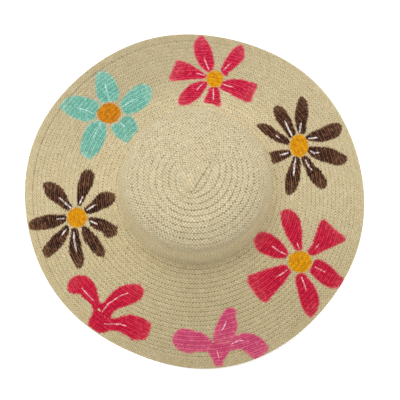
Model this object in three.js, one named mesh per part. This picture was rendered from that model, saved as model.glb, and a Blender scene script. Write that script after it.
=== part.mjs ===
// Wide-brim sun hat: a spiral-sewn braid shell with a wired edge, hand-painted
// flowers on the brim, and a sweatband with a size cord inside the crown.
// Millimetres, +Z up, back of the hat towards +Y. The hat stands on its brim;
// the origin is the bottom centre of its bounding box.
// Angles round the hat are in degrees from +X; slopes are in radians.
import * as THREE from 'three';

const { sin, cos, PI } = Math;
const rad = degrees => degrees * PI / 180;

// ---------- driving dimensions ----------
const SEGMENTS = 60;                 // facets round the hat
const STEP = 360 / SEGMENTS;
const ANGLES = Array.from({ length: SEGMENTS }, (_, i) => i * STEP);
const SHELL_THICK = 2.0;             // two overlapping rounds of braid
const JOINT_GAP = 0.3;               // free play between neighbouring pieces

// crown profile: shallow dome, round shoulder, slanted wall, fillet to the brim
const DOME_R = 217;
const DOME_APEX_Z = 87;
const SHOULDER_R = 17;
const WALL_SLOPE = rad(80.4);        // measured down from horizontal
const WALL_END_R = 91.6;
const WALL_END_Z = 6.2;
const FILLET_R = 6;
const TIP_FLAT_R = 10;               // flat first turn at the crown's centre
const TIP_END = 64;                  // length along the profile where the tip ends

// brim: slanted and waved
const BRIM_WIDTH = 124.65;           // slant width
const BRIM_STEPS = 60;               // integration steps over the full width
const BRIM_SLOPE_IN = rad(13);       // at the crown
const BRIM_SLOPE_OUT = rad(28.35);   // at the edge
// Row n holds the cos and sin amounts of n times the angle.
// Extra droop of the edge, degrees:
const DROOP_WAVES = [
  [1.0, -5.89], [-0.68, 3.43], [2.08, -2.07], [-0.61, -1.64], [-1.16, 0.49], [-0.51, 2.0]];
// Change of the slant width, mm:
const WIDTH_WAVES = [
  [-0.08, 0.09], [-0.1, -0.06], [0.1, 0.02], [0.02, -0.15], [-0.24, 0.02], [-0.64, 0.04]];

// folded edge
const HEM_WIDTH = 12;
const HEM_THICK = 4.4;
const HEM_START = BRIM_WIDTH - HEM_WIDTH;
const LEAF_THICK = 0.9;              // one layer of braid in the hem
const TONGUE_LENGTH = 3;             // brim let into the hem's mouth
const TONGUE_DEPTH = 1.2;            // tongue's top below the brim's top

// edge wire and the sleeve over its two ends
const WIRE_R = 0.6;
const WIRE_INSET = 3.0;
const WIRE_HALF_GAP = 0.15;          // degrees
const SLEEVE_R_IN = 0.9;
const SLEEVE_R_OUT = 1.15;
const SLEEVE_AT = 204;               // degrees
const SLEEVE_HALF_TURN = 1.9;        // degrees

// sweatband
const BACK = 90;                     // degrees: where the band's ends meet
const BAND_HALF_GAP = 0.4;           // degrees
const BAND_TOP_Z = 29;
const BAND_BOTTOM_Z = 1.5;
const BAND_THICK = 0.7;
const BAND_CLEARANCE = 0.35;         // to the crown wall
const CUFF_TOP_Z = 10;               // turned-up cuff that holds the cord
const CHANNEL_WIDTH = 1.8;
const CUFF_DEPTH = BAND_THICK * 2 + CHANNEL_WIDTH;

// patch over the band's ends; clearance and depth are taken from the band's inside
const PATCH = { top: 26.2, bottom: 13.5, clearance: 0.35, depth: 0.9 };
const STITCHING = { z: 27.4, inset: 0.6, radius: 0.3 };

// size cord and its stopper
const CORD_R = 0.7;
const CORD_LIFT = 0.2;               // above the channel's floor
const TAIL_HALF_SPACING = 3.0;
const TAIL_END_Z = -18;
const TAIL_INSET = 3.0;              // tails hang this far inside the cuff
const STOPPER = { height: 7, bottom: -15.5, endCentre: 3.2, endRadius: 2.2, holeRadius: 1.05 };

const LABEL = { at: 123, halfWidth: 11, top: 26.4, bottom: 10.8, thick: 0.4, clearance: 0.45 };

const PAINT_LIFT = 0.45;
const PAINT_THICK = 0.3;

// the plane the brim edge rests on, as its downward normal in the crown's frame
const REST_NORMAL = new THREE.Vector3(0.01035, 0.02158, -0.99971).normalize();

// ---------- materials ----------
const FINISHES = {
  tipBraid: { color: 0xd3c6a3, roughness: 0.85 },
  braid: { color: 0xc4b58f, roughness: 0.85 },
  hemBraid: { color: 0xb4a67c, roughness: 0.85 },
  wire: { color: 0x8f8f8c, roughness: 0.4 },
  sleeve: { color: 0xb9b9b5, roughness: 0.35 },
  band: { color: 0xe9e0cc, roughness: 0.9 },
  patch: { color: 0xdfd4ba, roughness: 0.9 },
  stitching: { color: 0xf4efe0, roughness: 0.8 },
  cord: { color: 0xf2ecdc, roughness: 0.8 },
  stopper: { color: 0xcdbb8e, roughness: 0.5 },
  label: { color: 0xfaf8f2, roughness: 0.75 },
};
const matte = finish => new THREE.MeshStandardMaterial({ ...finish, metalness: 0 });
const paint = color => matte({ color, roughness: 0.6 });

// ---------- crown and brim profiles ----------
// Profile points are [r, z]: distance from the hat's axis, and height.
const DOME_CENTRE_Z = DOME_APEX_Z - DOME_R;
// slope where the dome meets the shoulder, so that the shoulder also meets the wall
const SHOULDER_SLOPE = WALL_SLOPE - Math.acos(
  (WALL_END_R * sin(WALL_SLOPE) + WALL_END_Z * cos(WALL_SLOPE)
    - SHOULDER_R - DOME_CENTRE_Z * cos(WALL_SLOPE)) / (DOME_R - SHOULDER_R));
const SHOULDER_CENTRE = [
  (DOME_R - SHOULDER_R) * sin(SHOULDER_SLOPE),
  DOME_CENTRE_Z + (DOME_R - SHOULDER_R) * cos(SHOULDER_SLOPE)];
const WALL_START = [
  SHOULDER_CENTRE[0] + SHOULDER_R * sin(WALL_SLOPE),
  SHOULDER_CENTRE[1] + SHOULDER_R * cos(WALL_SLOPE)];

// lengths along the profile from the apex
const SHOULDER_LENGTH = SHOULDER_R * (WALL_SLOPE - SHOULDER_SLOPE);
const FILLET_LENGTH = FILLET_R * (WALL_SLOPE - BRIM_SLOPE_IN);
const DOME_END = DOME_R * SHOULDER_SLOPE;
const SHOULDER_END = DOME_END + SHOULDER_LENGTH;
const WALL_END = SHOULDER_END
  + Math.hypot(WALL_END_R - WALL_START[0], WALL_END_Z - WALL_START[1]);
const CROWN_END = WALL_END + FILLET_LENGTH;

// moves a profile point outward, square to its slope
const offsetPoint = (r, z, slope, outward) =>
  [r + outward * sin(slope), z + outward * cos(slope)];

// point of the crown at a length along the profile from the apex
function crown(length, outward = 0) {
  let r, z, slope;
  if (length <= DOME_END) {
    slope = length / DOME_R;
    r = DOME_R * sin(slope);
    z = DOME_CENTRE_Z + DOME_R * cos(slope);
  } else if (length <= SHOULDER_END) {
    slope = SHOULDER_SLOPE + (length - DOME_END) / SHOULDER_R;
    r = SHOULDER_CENTRE[0] + SHOULDER_R * sin(slope);
    z = SHOULDER_CENTRE[1] + SHOULDER_R * cos(slope);
  } else if (length <= WALL_END) {
    slope = WALL_SLOPE;
    r = WALL_START[0] + (length - SHOULDER_END) * cos(slope);
    z = WALL_START[1] - (length - SHOULDER_END) * sin(slope);
  } else {
    slope = WALL_SLOPE - (length - WALL_END) / FILLET_R;
    r = WALL_END_R + FILLET_R * (sin(WALL_SLOPE) - sin(slope));
    z = WALL_END_Z - FILLET_R * (cos(slope) - cos(WALL_SLOPE));
  }
  return offsetPoint(r, z, slope, outward);
}
const FOLD = crown(CROWN_END);       // where the brim begins

const waveSum = (table, angle) => table.reduce((sum, [cosPart, sinPart], i) => {
  const turn = (i + 1) * rad(angle);
  return sum + cosPart * cos(turn) + sinPart * sin(turn);
}, 0);

// point of the brim at an angle and a slant distance from the fold
function brim(angle, distance, outward = 0) {
  const width = BRIM_WIDTH + waveSum(WIDTH_WAVES, angle);
  const droop = rad(waveSum(DROOP_WAVES, angle));
  const slopeAt = share => BRIM_SLOPE_IN + (BRIM_SLOPE_OUT - BRIM_SLOPE_IN) * share
    + droop * Math.pow(share, 1.5);
  const endShare = distance / BRIM_WIDTH;
  const steps = Math.max(2, Math.ceil(endShare * BRIM_STEPS));
  const stepShare = endShare / steps;
  let [r, z] = FOLD;
  for (let i = 0; i < steps; i++) {
    const before = slopeAt(i * stepShare);
    const after = slopeAt((i + 1) * stepShare);
    r += width * stepShare * (cos(before) + cos(after)) / 2;
    z -= width * stepShare * (sin(before) + sin(after)) / 2;
  }
  return offsetPoint(r, z, slopeAt(endShare), outward);
}

const toXYZ = (angle, [r, z]) => new THREE.Vector3(r * cos(rad(angle)), r * sin(rad(angle)), z);

// ---------- mesh helpers ----------
const group = new THREE.Group();
group.name = 'sun_hat';

function addMesh(name, geometry, material) {
  const mesh = new THREE.Mesh(geometry, material);
  mesh.name = name;
  group.add(mesh);
}

// flat-shaded solid; its faces are turned over if they enclose a negative volume
function addSolid(name, points, faces, material) {
  let volume = 0;
  for (const [a, b, c] of faces) {
    volume += points[a].dot(new THREE.Vector3().crossVectors(points[b], points[c]));
  }
  const positions = [];
  for (const [a, b, c] of faces) {
    for (const i of volume < 0 ? [a, c, b] : [a, b, c]) positions.push(...points[i].toArray());
  }
  const geometry = new THREE.BufferGeometry();
  geometry.setAttribute('position', new THREE.Float32BufferAttribute(positions, 3));
  geometry.computeVertexNormals();
  addMesh(name, geometry, material);
}

// Joins loops of equal point count, in order. Without end outlines the last
// loop joins the first; with them (flat, one for each end) the ends are capped.
function loft(name, loops, material, endOutlines = null) {
  const size = loops[0].length;
  const faces = [];
  for (let i = 0; i < (endOutlines ? loops.length - 1 : loops.length); i++) {
    const a = i * size;
    const b = ((i + 1) % loops.length) * size;
    for (let j = 0; j < size; j++) {
      const k = (j + 1) % size;
      faces.push([a + j, b + j, b + k], [a + j, b + k, a + k]);
    }
  }
  (endOutlines ?? []).forEach((outline, end) => {
    const flat = outline.map(([x, y]) => new THREE.Vector2(x, y));
    const counterClockwise = THREE.ShapeUtils.area(flat) > 0;
    const reversed = (end === 1) === counterClockwise;
    const first = end * (loops.length - 1) * size;
    for (const face of THREE.ShapeUtils.triangulateShape(flat, [])) {
      const [a, b, c] = face.map(i => first + i);
      faces.push(reversed ? [a, c, b] : [a, b, c]);
    }
  });
  addSolid(name, loops.flat(), faces, material);
}

// section(angle) gives the [r, z] outline there
const sweep = (angles, section) => angles.map(t => section(t).map(p => toXYZ(t, p)));
const ring = (name, section, material) => loft(name, sweep(ANGLES, section), material);
const arc = (name, angles, section, material) =>
  loft(name, sweep(angles, section), material, [section(angles[0]), section(angles.at(-1))]);

// angles of a full round with a small gap at its start
const gappedRound = (start, halfGap) =>
  [start + halfGap, ...ANGLES.slice(1).map(a => start + a), start + 360 - halfGap];

const polygon = ([x, y], radius, sides) => Array.from({ length: sides }, (_, i) =>
  [x + radius * cos(i * 2 * PI / sides), y + radius * sin(i * 2 * PI / sides)]);

// outer face of the shell along the stations, then its inner face back again
const shellOutline = (stations, pointAt) => [
  ...stations.map(s => pointAt(s, 0)),
  ...stations.map(s => pointAt(s, -SHELL_THICK)).reverse()];

// direction of a path at a point, from its neighbours
const directionAt = (path, i) =>
  path[Math.min(i + 1, path.length - 1)].clone().sub(path[Math.max(i - 1, 0)]).normalize();

// point of a cross-section held by a frame { origin, side, other }
const inFrame = ({ origin, side, other }, [x, y]) =>
  origin.clone().addScaledVector(side, x).addScaledVector(other, y);

// ---------- braid shell ----------
// closed on the axis by a fan above and below
function buildCrownTip() {
  const outline = shellOutline([TIP_FLAT_R, 28, 46, TIP_END], crown);
  const size = outline.length;
  const points = [
    new THREE.Vector3(0, 0, outline[0][1]),
    new THREE.Vector3(0, 0, outline[size - 1][1]),
    ...sweep(ANGLES, () => outline).flat()];
  const faces = [];
  for (let i = 0; i < SEGMENTS; i++) {
    const a = 2 + i * size;
    const b = 2 + ((i + 1) % SEGMENTS) * size;
    faces.push([0, a, b], [1, b + size - 1, a + size - 1]);
    for (let j = 0; j < size - 1; j++) {
      faces.push([a + j, a + j + 1, b + j + 1], [a + j, b + j + 1, b + j]);
    }
  }
  addSolid('crown_tip_braid', points, faces, matte(FINISHES.tipBraid));
}

// shoulder, wall and the turn into the brim
function buildCrownSide() {
  const stations = [
    TIP_END + JOINT_GAP, DOME_END,
    DOME_END + SHOULDER_LENGTH * 0.33, DOME_END + SHOULDER_LENGTH * 0.67, SHOULDER_END,
    WALL_END, WALL_END + FILLET_LENGTH * 0.5, CROWN_END - JOINT_GAP / 2];
  ring('crown_side_braid', () => shellOutline(stations, crown), matte(FINISHES.braid));
}

// ends in a single-layer tongue let into the hem
function buildBrim() {
  const shoulder = HEM_START - JOINT_GAP;
  const stations = [JOINT_GAP / 2, 22, 44, 66, 89, shoulder];
  const tongueEnd = HEM_START + TONGUE_LENGTH;
  ring('brim_braid', angle => {
    const outline = shellOutline(stations, (s, outward) => brim(angle, s, outward));
    outline.splice(stations.length, 0,
      brim(angle, shoulder, -TONGUE_DEPTH),
      brim(angle, tongueEnd, -TONGUE_DEPTH),
      brim(angle, tongueEnd, -SHELL_THICK));
    return outline;
  }, matte(FINISHES.braid));
}

// the last round folded over the wire, open towards the brim
function buildHem() {
  // [slant distance, offset outward]: round the outside, then back along the pocket
  const outline = [
    [HEM_START, 0], [BRIM_WIDTH - 1.8, 0], [BRIM_WIDTH - 0.5, -0.8],
    [BRIM_WIDTH, -HEM_THICK / 2],
    [BRIM_WIDTH - 0.5, -HEM_THICK + 0.8], [BRIM_WIDTH - 1.8, -HEM_THICK],
    [HEM_START, -HEM_THICK],
    [HEM_START, -HEM_THICK + LEAF_THICK], [BRIM_WIDTH - 2.1, -HEM_THICK + LEAF_THICK],
    [BRIM_WIDTH - 1.3, -HEM_THICK / 2],
    [BRIM_WIDTH - 2.1, -LEAF_THICK], [HEM_START, -LEAF_THICK]];
  ring('brim_edge_hem', angle => outline.map(([distance, outward]) =>
    brim(angle, distance, outward)), matte(FINISHES.hemBraid));
}

// ---------- edge wire ----------
const wireCentre = angle => brim(angle, BRIM_WIDTH - WIRE_INSET, -HEM_THICK / 2);

function buildWire() {
  arc('brim_edge_wire', gappedRound(SLEEVE_AT, WIRE_HALF_GAP),
    angle => polygon(wireCentre(angle), WIRE_R, 6), matte(FINISHES.wire));
}

// the sleeve follows the straight chords of the wire
function buildSleeve() {
  const chordPoint = (direction, turn) => {
    const [end, next] = [WIRE_HALF_GAP, STEP].map(offset => {
      const angle = SLEEVE_AT + direction * offset;
      return toXYZ(angle, wireCentre(angle));
    });
    return end.lerp(next, (turn - WIRE_HALF_GAP) / (STEP - WIRE_HALF_GAP));
  };
  const path = [
    chordPoint(-1, SLEEVE_HALF_TURN), chordPoint(-1, WIRE_HALF_GAP),
    chordPoint(1, WIRE_HALF_GAP), chordPoint(1, SLEEVE_HALF_TURN)];
  const up = new THREE.Vector3(0, 0, 1);
  const frames = path.map((origin, i) => {
    const along = directionAt(path, i);
    const side = new THREE.Vector3().crossVectors(along, up).normalize();
    return { origin, side, other: new THREE.Vector3().crossVectors(side, along) };
  });
  const inner = polygon([0, 0], SLEEVE_R_IN, 8);
  const loops = polygon([0, 0], SLEEVE_R_OUT, 8).map((corner, i) => [
    ...frames.map(frame => inFrame(frame, corner)),
    ...frames.map(frame => inFrame(frame, inner[i])).reverse()]);
  loft('wire_joiner_sleeve', loops, matte(FINISHES.sleeve));
}

// ---------- sweatband ----------
// radii of the band's two faces at a height
const bandOut = z => WALL_END_R - (z - WALL_END_Z) / Math.tan(WALL_SLOPE)
  - SHELL_THICK / sin(WALL_SLOPE) - BAND_CLEARANCE;
const bandIn = z => bandOut(z) - BAND_THICK;
const CUFF_TOP_R = bandOut(CUFF_TOP_Z) - CUFF_DEPTH;

function buildBand() {
  const floor = BAND_BOTTOM_Z + BAND_THICK;
  const outline = [
    [bandOut(BAND_BOTTOM_Z), BAND_BOTTOM_Z], [bandOut(BAND_TOP_Z), BAND_TOP_Z],
    [bandIn(BAND_TOP_Z), BAND_TOP_Z], [bandIn(floor), floor],
    [bandIn(floor) - CHANNEL_WIDTH, floor],
    [bandIn(CUFF_TOP_Z) - CHANNEL_WIDTH, CUFF_TOP_Z],
    [CUFF_TOP_R, CUFF_TOP_Z], [bandOut(BAND_BOTTOM_Z) - CUFF_DEPTH, BAND_BOTTOM_Z]];
  arc('sweatband', gappedRound(BACK, BAND_HALF_GAP), () => outline, matte(FINISHES.band));
}

// covers the band's two ends
function buildPatch() {
  const { top, bottom, clearance, depth } = PATCH;
  const outline = [
    [bandIn(bottom) - clearance, bottom], [bandIn(top) - clearance, top],
    [bandIn(top) - depth, top], [bandIn(bottom) - depth, bottom]];
  const angles = [-8, -6, -BAND_HALF_GAP, BAND_HALF_GAP, 6, 8].map(a => BACK + a);
  arc('sweatband_join_patch', angles, () => outline, matte(FINISHES.patch));
}

// overstitch along the band's top edge
function buildStitching() {
  const { z, inset, radius } = STITCHING;
  const outline = polygon([bandIn(z) - inset, z], radius, 4);
  ring('sweatband_stitching', () => outline, matte(FINISHES.stitching));
}

// ---------- size cord and its stopper ----------
const TAIL_Y = CUFF_TOP_R - TAIL_INSET;

// runs round the channel; both ends climb over the cuff at the back and hang down
function buildCord() {
  const z = BAND_BOTTOM_Z + BAND_THICK + CORD_R + CORD_LIFT;
  const r = bandIn(z) - CHANNEL_WIDTH / 2;
  // [distance from the middle, y, z] from the channel to the free end
  const tail = [
    [6.4, bandIn(7) - 0.95, 6.6],
    [4.8, bandIn(11) - 1.1, 10.6],
    [4.0, CUFF_TOP_R + 1.4, 11.9],
    [3.4, CUFF_TOP_R - 1.0, 11.8],
    [TAIL_HALF_SPACING, TAIL_Y, 9.6],
    [TAIL_HALF_SPACING, TAIL_Y, 0],
    [TAIL_HALF_SPACING, TAIL_Y, TAIL_END_Z]];
  const tailPoints = sign => tail.map(p => new THREE.Vector3(sign * p[0], p[1], p[2]));
  const path = [
    ...tailPoints(-1).reverse(),
    ...ANGLES.slice(1).map(a => toXYZ(BACK + a, [r, z])),
    ...tailPoints(1)];
  const outline = polygon([0, 0], CORD_R, 6);
  let side = new THREE.Vector3(0, 1, 0);
  const loops = path.map((origin, i) => {
    const along = directionAt(path, i);
    // carried along without twist
    side = side.clone().addScaledVector(along, -side.dot(along)).normalize();
    const other = new THREE.Vector3().crossVectors(along, side);
    return outline.map(corner => inFrame({ origin, side, other }, corner));
  });
  loft('drawcord', loops, matte(FINISHES.cord), [outline, outline]);
}

// round-ended block with a hole for each tail
function buildStopper() {
  const { height, bottom, endCentre, endRadius, holeRadius } = STOPPER;
  const shape = new THREE.Shape();
  shape.absarc(endCentre, 0, endRadius, -PI / 2, PI / 2, false);
  shape.absarc(-endCentre, 0, endRadius, PI / 2, 1.5 * PI, false);
  shape.closePath();
  for (const sign of [-1, 1]) {
    const hole = new THREE.Path();
    hole.absarc(sign * TAIL_HALF_SPACING, 0, holeRadius, 0, 2 * PI, true);
    shape.holes.push(hole);
  }
  const geometry = new THREE.ExtrudeGeometry(shape, {
    depth: height, bevelEnabled: false, curveSegments: 6,
  });
  geometry.translate(0, TAIL_Y, bottom);
  addMesh('cord_stopper', geometry, matte(FINISHES.stopper));
}

// ---------- blank care label, hanging near the band's top edge ----------
function buildLabel() {
  const { at, halfWidth, top, bottom, thick, clearance } = LABEL;
  // the flat label spans a chord of the band
  const outerFace = Math.sqrt(bandIn(top) ** 2 - halfWidth ** 2) - clearance;
  const geometry = new THREE.BoxGeometry(thick, 2 * halfWidth, top - bottom);
  geometry.translate(outerFace - thick / 2, 0, (top + bottom) / 2);
  geometry.rotateZ(rad(at));
  addMesh('care_label', geometry, matte(FINISHES.label));
}

// ---------- painted flowers ----------
// Petals, leaves and stems: stations along the shape, each as
// [angle, slant distance] of one side, then the same of the other side.
// Discs: the rim as [angle, slant distance].
const TURQUOISE_PETALS = [
  [[135.3,68.8,131.7,60.8], [135.2,76.1,128.8,60.2], [134.3,83.4,126.9,67.5],
   [133.1,90,125.8,76.4], [131.7,96.4,125.3,85.6], [130.4,102.9,125.4,95], [129,108.6,126.1,104.1]],
  [[129.6,49.6,131.4,38], [127.4,53.2,129.8,30.3], [125,55.5,126,26.8], [122.5,57.3,121.7,26.5],
   [120,58.5,117.8,29.7], [117.5,59,114.8,36.1], [115.2,56.4,113.3,44.6]],
  [[134.8,31.8,140.9,34.2], [132.8,30.5,142.6,32.8], [131.2,27.2,143.9,27.8],
   [130.7,22.1,144.8,22.3], [131,16.9,145.2,16.6], [131.7,11.9,145.3,10.8], [132.9,7.5,144.5,5.2]],
  [[143.2,45.6,144.3,57.2], [145.1,38.5,147,60.8], [148.3,34.2,150,61.3], [151.9,31.9,153.1,61],
   [155.6,31.5,156.1,59.4], [159.1,34.2,159,56.1], [162.4,37.9,161.5,50.7]],
  [[141.7,64.1,137.8,70.9], [144.6,64,137.3,79.6], [146.6,70.3,138.1,88.6], [147.3,79,138.9,97.5],
   [147.5,88.1,140.2,105.6], [147.4,97.2,142.1,111.8], [147,106.3,144.5,113.8]],
];
const TURQUOISE_DISC = [
  [133.6,40.2], [135.4,37.2], [137.5,36.4], [139.6,38.1], [141.2,41.9], [142.1,47.1],
  [142.3,53], [141.7,58.6], [140.5,63], [139,65.8], [137.2,66.5], [135.4,65],
  [133.9,61.5], [132.8,56.5], [132.3,50.7], [132.6,45],
];
const CRIMSON_PETALS = [
  [[85.2,62.3,82.2,67.1], [87.5,68.9,82.2,75.9], [89,77.3,82.8,84.6], [89.9,86.4,83.5,93.2],
   [90.3,95.9,84.4,101.6], [90.2,105.6,85.4,109.7], [89.3,114.7,86.8,117]],
  [[78.2,66.5,75.5,60.2], [78,74.9,74.4,68.1], [77.5,83.3,73.1,75.8], [76.9,91.6,71.9,83.8],
   [76.2,100,71.2,92.2], [75.3,108,71.1,100.8], [74,115.2,71.8,109.3]],
  [[74.2,53.1,76.5,42.8], [72.1,55.9,75.5,37.6], [70,58.5,72.8,36.2], [68,60.7,70,34.9],
   [65.8,61.7,67.2,33.5], [63.6,63,64.4,33.1], [61.5,64.2,61.6,33.6]],
  [[78.3,38.6,81.6,36.9], [77.4,35.1,82.1,33.9], [76.5,31.5,82.5,30.1], [75.9,27.6,82.9,26.4],
   [75.3,23.7,83.4,22.9], [74.7,19.7,84,19.3], [74.1,15.7,84.2,15.6]],
  [[83.9,39.6,86.4,43.6], [85,32.8,89.3,42.4], [86.4,26.4,92.1,39.7], [88.2,20.5,94.4,34.9],
   [90.8,15.7,96.7,29.7], [93.8,12,98.9,24.1], [97.5,11.9,100.6,17.7]],
  [[86.4,49.5,85.8,56.9], [89,48.3,87.6,60.5], [91.5,47.9,89.4,64.2], [94.1,47.3,91.2,68],
   [96.7,47.1,92.9,71.9], [99.3,48.4,94.7,74.7], [101.8,50,96.6,77.5]],
];
const CRIMSON_DISC = [
  [76.6,53.6], [76.5,48.8], [77.1,44.4], [78.1,41.1], [79.6,39.3], [81.3,39.4],
  [82.7,41.4], [83.8,44.9], [84.2,49.4], [84.1,54.1], [83.5,58.4], [82.4,61.6],
  [81,63.3], [79.6,63.2], [78.3,61.4], [77.3,58],
];
const BROWN_RIGHT_PETALS = [
  [[31.9,54.6,28.9,58.1], [34.4,57.4,30.6,64.8], [36.7,61.2,32.8,70.6], [38.6,66.3,34.7,77.1],
   [40.2,72,36.7,83], [41.5,78.3,38.9,88.1], [42.6,85.1,41.2,92]],
  [[27.2,63.4,25,61.5], [27.6,71.3,23.5,69.4], [27.6,79.5,22.6,77.9], [27.7,87.7,22.4,87],
   [28,95.9,22.5,96.2], [27.7,104.2,23,104.9], [27.1,112.3,24.6,111.9]],
  [[21,60.9,19.6,52.9], [20.5,68.9,16.9,57.4], [19.8,76.7,14.9,64.3], [18.8,84.3,13.6,72.2],
   [17.6,91.4,12.6,80.5], [16.1,98,11.7,89.1], [14.6,104.6,12,97.9]],
  [[16.2,50.9,17.5,42.5], [13.8,53.7,14.8,41.8], [11.6,57.5,11.8,42.4], [9.7,62.2,8.9,44.2],
   [7.4,65.4,6.2,47.2], [5.2,68.5,3.8,51.5], [3,67.3,2.1,57.4]],
  [[16.3,37.5,18.9,32.4], [13.3,35.9,16.4,27.1], [10.2,33.9,13.6,22.1], [7.1,31.8,10.5,17.7],
   [4,29.5,6.9,14.6], [1,26.1,3,13], [-1.7,21.6,-1,13.2]],
  [[21.9,30.5,23.9,27], [20.5,27.8,24.5,23.3], [20.1,23.5,25,19.4], [19.6,19.3,25.5,15.6],
   [19.2,15,25.8,11.7], [18.9,10.8,26.1,7.8], [18.8,6.4,25.7,4.5]],
  [[27,32.4,30,35.1], [28.7,26.4,32.5,32.3], [31,21.3,35.1,29.9], [33.9,17.9,37.9,27.8],
   [37.2,15.2,40.7,25.8], [40.6,13.1,43.5,23.5], [44.2,13,45.7,19]],
  [[29.8,39.5,30.7,47.9], [32.8,38,33.2,50.4], [35.9,38.1,35.6,52.7], [38.9,38.6,38,54.7],
   [41.9,39.9,40.5,56.1], [44.7,42.9,42.9,57.5], [46.8,48.1,45.2,56.7]],
];
const BROWN_RIGHT_DISC = [
  [22.6,55.9], [20.8,52.7], [19.4,48.4], [18.7,43.6], [18.7,38.9], [19.6,35],
  [21.2,32.6], [23.4,32.1], [25.7,33.8], [27.6,37.3], [28.8,42], [29.3,47.1],
  [29,51.8], [28,55.3], [26.4,57.3], [24.6,57.5],
];
const BROWN_LEFT_PETALS = [
  [[-175,49.1,-173.4,44.4], [-177.5,49.5,-175.9,39.8], [-180,49.2,-178.6,35.5],
   [-182.5,48.3,-181.5,31.6], [-185,47.4,-184.7,29], [-187.5,46.2,-188.1,28.8],
   [-189.9,43.5,-190.6,33.6]],
  [[-171,38.9,-168.1,39], [-172.5,33,-167.8,32.5], [-174.3,27.6,-167.7,26],
   [-176.3,22.4,-168.1,19.5], [-177.7,16.5,-168.7,13.1], [-178,9.8,-169.8,7.1],
   [-176.8,3.4,-172,2.2]],
  [[-164.6,34,-163.3,39.7], [-163.6,27.7,-161.1,37.1], [-162.2,21.9,-158.9,33.4],
   [-160.1,17,-156.9,29.4], [-157.4,13.3,-154.7,25.9], [-154.7,9.4,-152,24.7],
   [-151.5,10.7,-150.6,19.5]],
  [[-160.8,43.9,-161.2,49.2], [-158.5,40.5,-158.6,50.4], [-156.1,38,-155.9,51],
   [-153.4,36.2,-153.3,50.2], [-150.7,35.1,-150.6,49.2], [-148,35.1,-148,47.4],
   [-145.4,37.1,-145.6,44.3]],
  [[-161.1,56.1,-162.8,62.1], [-158.5,56.8,-160.4,66.3], [-155.9,58.3,-158.1,70.7],
   [-153.4,60.1,-155.8,74.3], [-151,62.1,-153.3,76.6], [-148.6,64.5,-150.8,77.8],
   [-146.9,70,-148.3,77.8]],
  [[-162.8,67.6,-165.1,69.7], [-160.9,72.4,-164.4,76.7], [-159.2,77.9,-163.6,83.9],
   [-158.2,84.8,-162.9,91.2], [-157.5,92.3,-161.9,98.1], [-157,100,-160.9,105],
   [-156.9,108,-159.6,110.4]],
  [[-167,73.2,-169.6,67.9], [-166.5,81,-170.3,75.3], [-166.4,89,-170.9,83.1],
   [-166.7,97.1,-171.4,91.1], [-167.2,105,-171.5,99.3], [-167.8,112.9,-171.4,107.6],
   [-168.7,120.3,-170.9,115.6]],
  [[-172.2,64.9,-173.4,58.7], [-173.7,70.8,-176.1,61.7], [-175.3,76.5,-178.6,65],
   [-176.8,82.4,-180.9,69.5], [-178.3,88,-182.7,75.4], [-180.1,92.3,-183.9,82.5],
   [-182.1,95,-184.3,90.5]],
];
const BROWN_LEFT_DISC = [
  [-165.9,40.8], [-164.3,42.8], [-163.2,46.3], [-162.8,50.8], [-163.1,55.5], [-164,59.8],
  [-165.3,63.1], [-166.8,64.8], [-168.4,64.9], [-169.9,63.1], [-171,59.9], [-171.6,55.5],
  [-171.6,50.7], [-170.9,46.2], [-169.5,42.7], [-167.8,40.8],
];
const RED_PETALS = [
  [[-30,41.1,-29.1,51], [-28.6,34.1,-26,47.4], [-26.8,27.6,-23,43.6], [-24.7,21.6,-19.8,39.9],
   [-22,16.3,-16.7,35.8], [-18.7,12.4,-14.1,29.8], [-14.9,11.1,-12.6,21.9]],
  [[-27.1,61.5,-28,68.8], [-24.8,61.7,-26.2,73.5], [-22.4,61.5,-24.5,78.4],
   [-20.1,61.5,-22.8,83.3], [-17.8,61.8,-21.3,88.3], [-15.5,62.5,-19.7,93.3], [-13.3,64,-18.2,98.3]],
  [[-31.2,73.9,-34.8,76.6], [-29.2,77.4,-35.3,84.7], [-28.6,85.2,-35.4,93.1],
   [-28.6,93.5,-35.3,101.7], [-28.8,102,-34.8,110], [-29.3,110.5,-33.7,117.4],
   [-29.6,119.3,-32.1,121.9]],
  [[-37.5,74.4,-39.7,66.7], [-37.9,83.5,-42.2,70.3], [-38.5,92.5,-43.7,77.9],
   [-39.5,101.1,-45.1,85.7], [-40.8,109.2,-46.2,93.8], [-42.6,115,-47,102.5],
   [-44.8,117.9,-47.3,111.7]],
  [[-41.6,56.2,-40.4,44.7], [-44.4,57.8,-42.9,40.3], [-47.2,58.9,-45.7,36.4],
   [-49.9,60.1,-48.6,32.9], [-52.7,61.4,-51.7,30.2], [-55.4,62.7,-55,28.1], [-58,63.7,-58.5,26.7]],
  [[-37.3,38.7,-34.1,35.8], [-39.5,33.6,-32.5,29.5], [-41.3,27.7,-31.9,22.4],
   [-42.6,21,-31.6,15.3], [-43.9,14.3,-31.8,8.2], [-44.3,7.5,-33.1,2.2], [-42.5,2.2,-36.3,2.2]],
];
const RED_DISC = [
  [-31.3,70.4], [-32.9,72.1], [-34.6,71.8], [-36.3,69.5], [-37.8,65.6], [-38.8,60.6],
  [-39.2,55.2], [-38.8,50.2], [-37.6,46.4], [-35.9,44.3], [-33.9,44.5], [-31.9,46.9],
  [-30.4,51.2], [-29.6,56.5], [-29.6,62], [-30.2,66.9],
];
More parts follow.
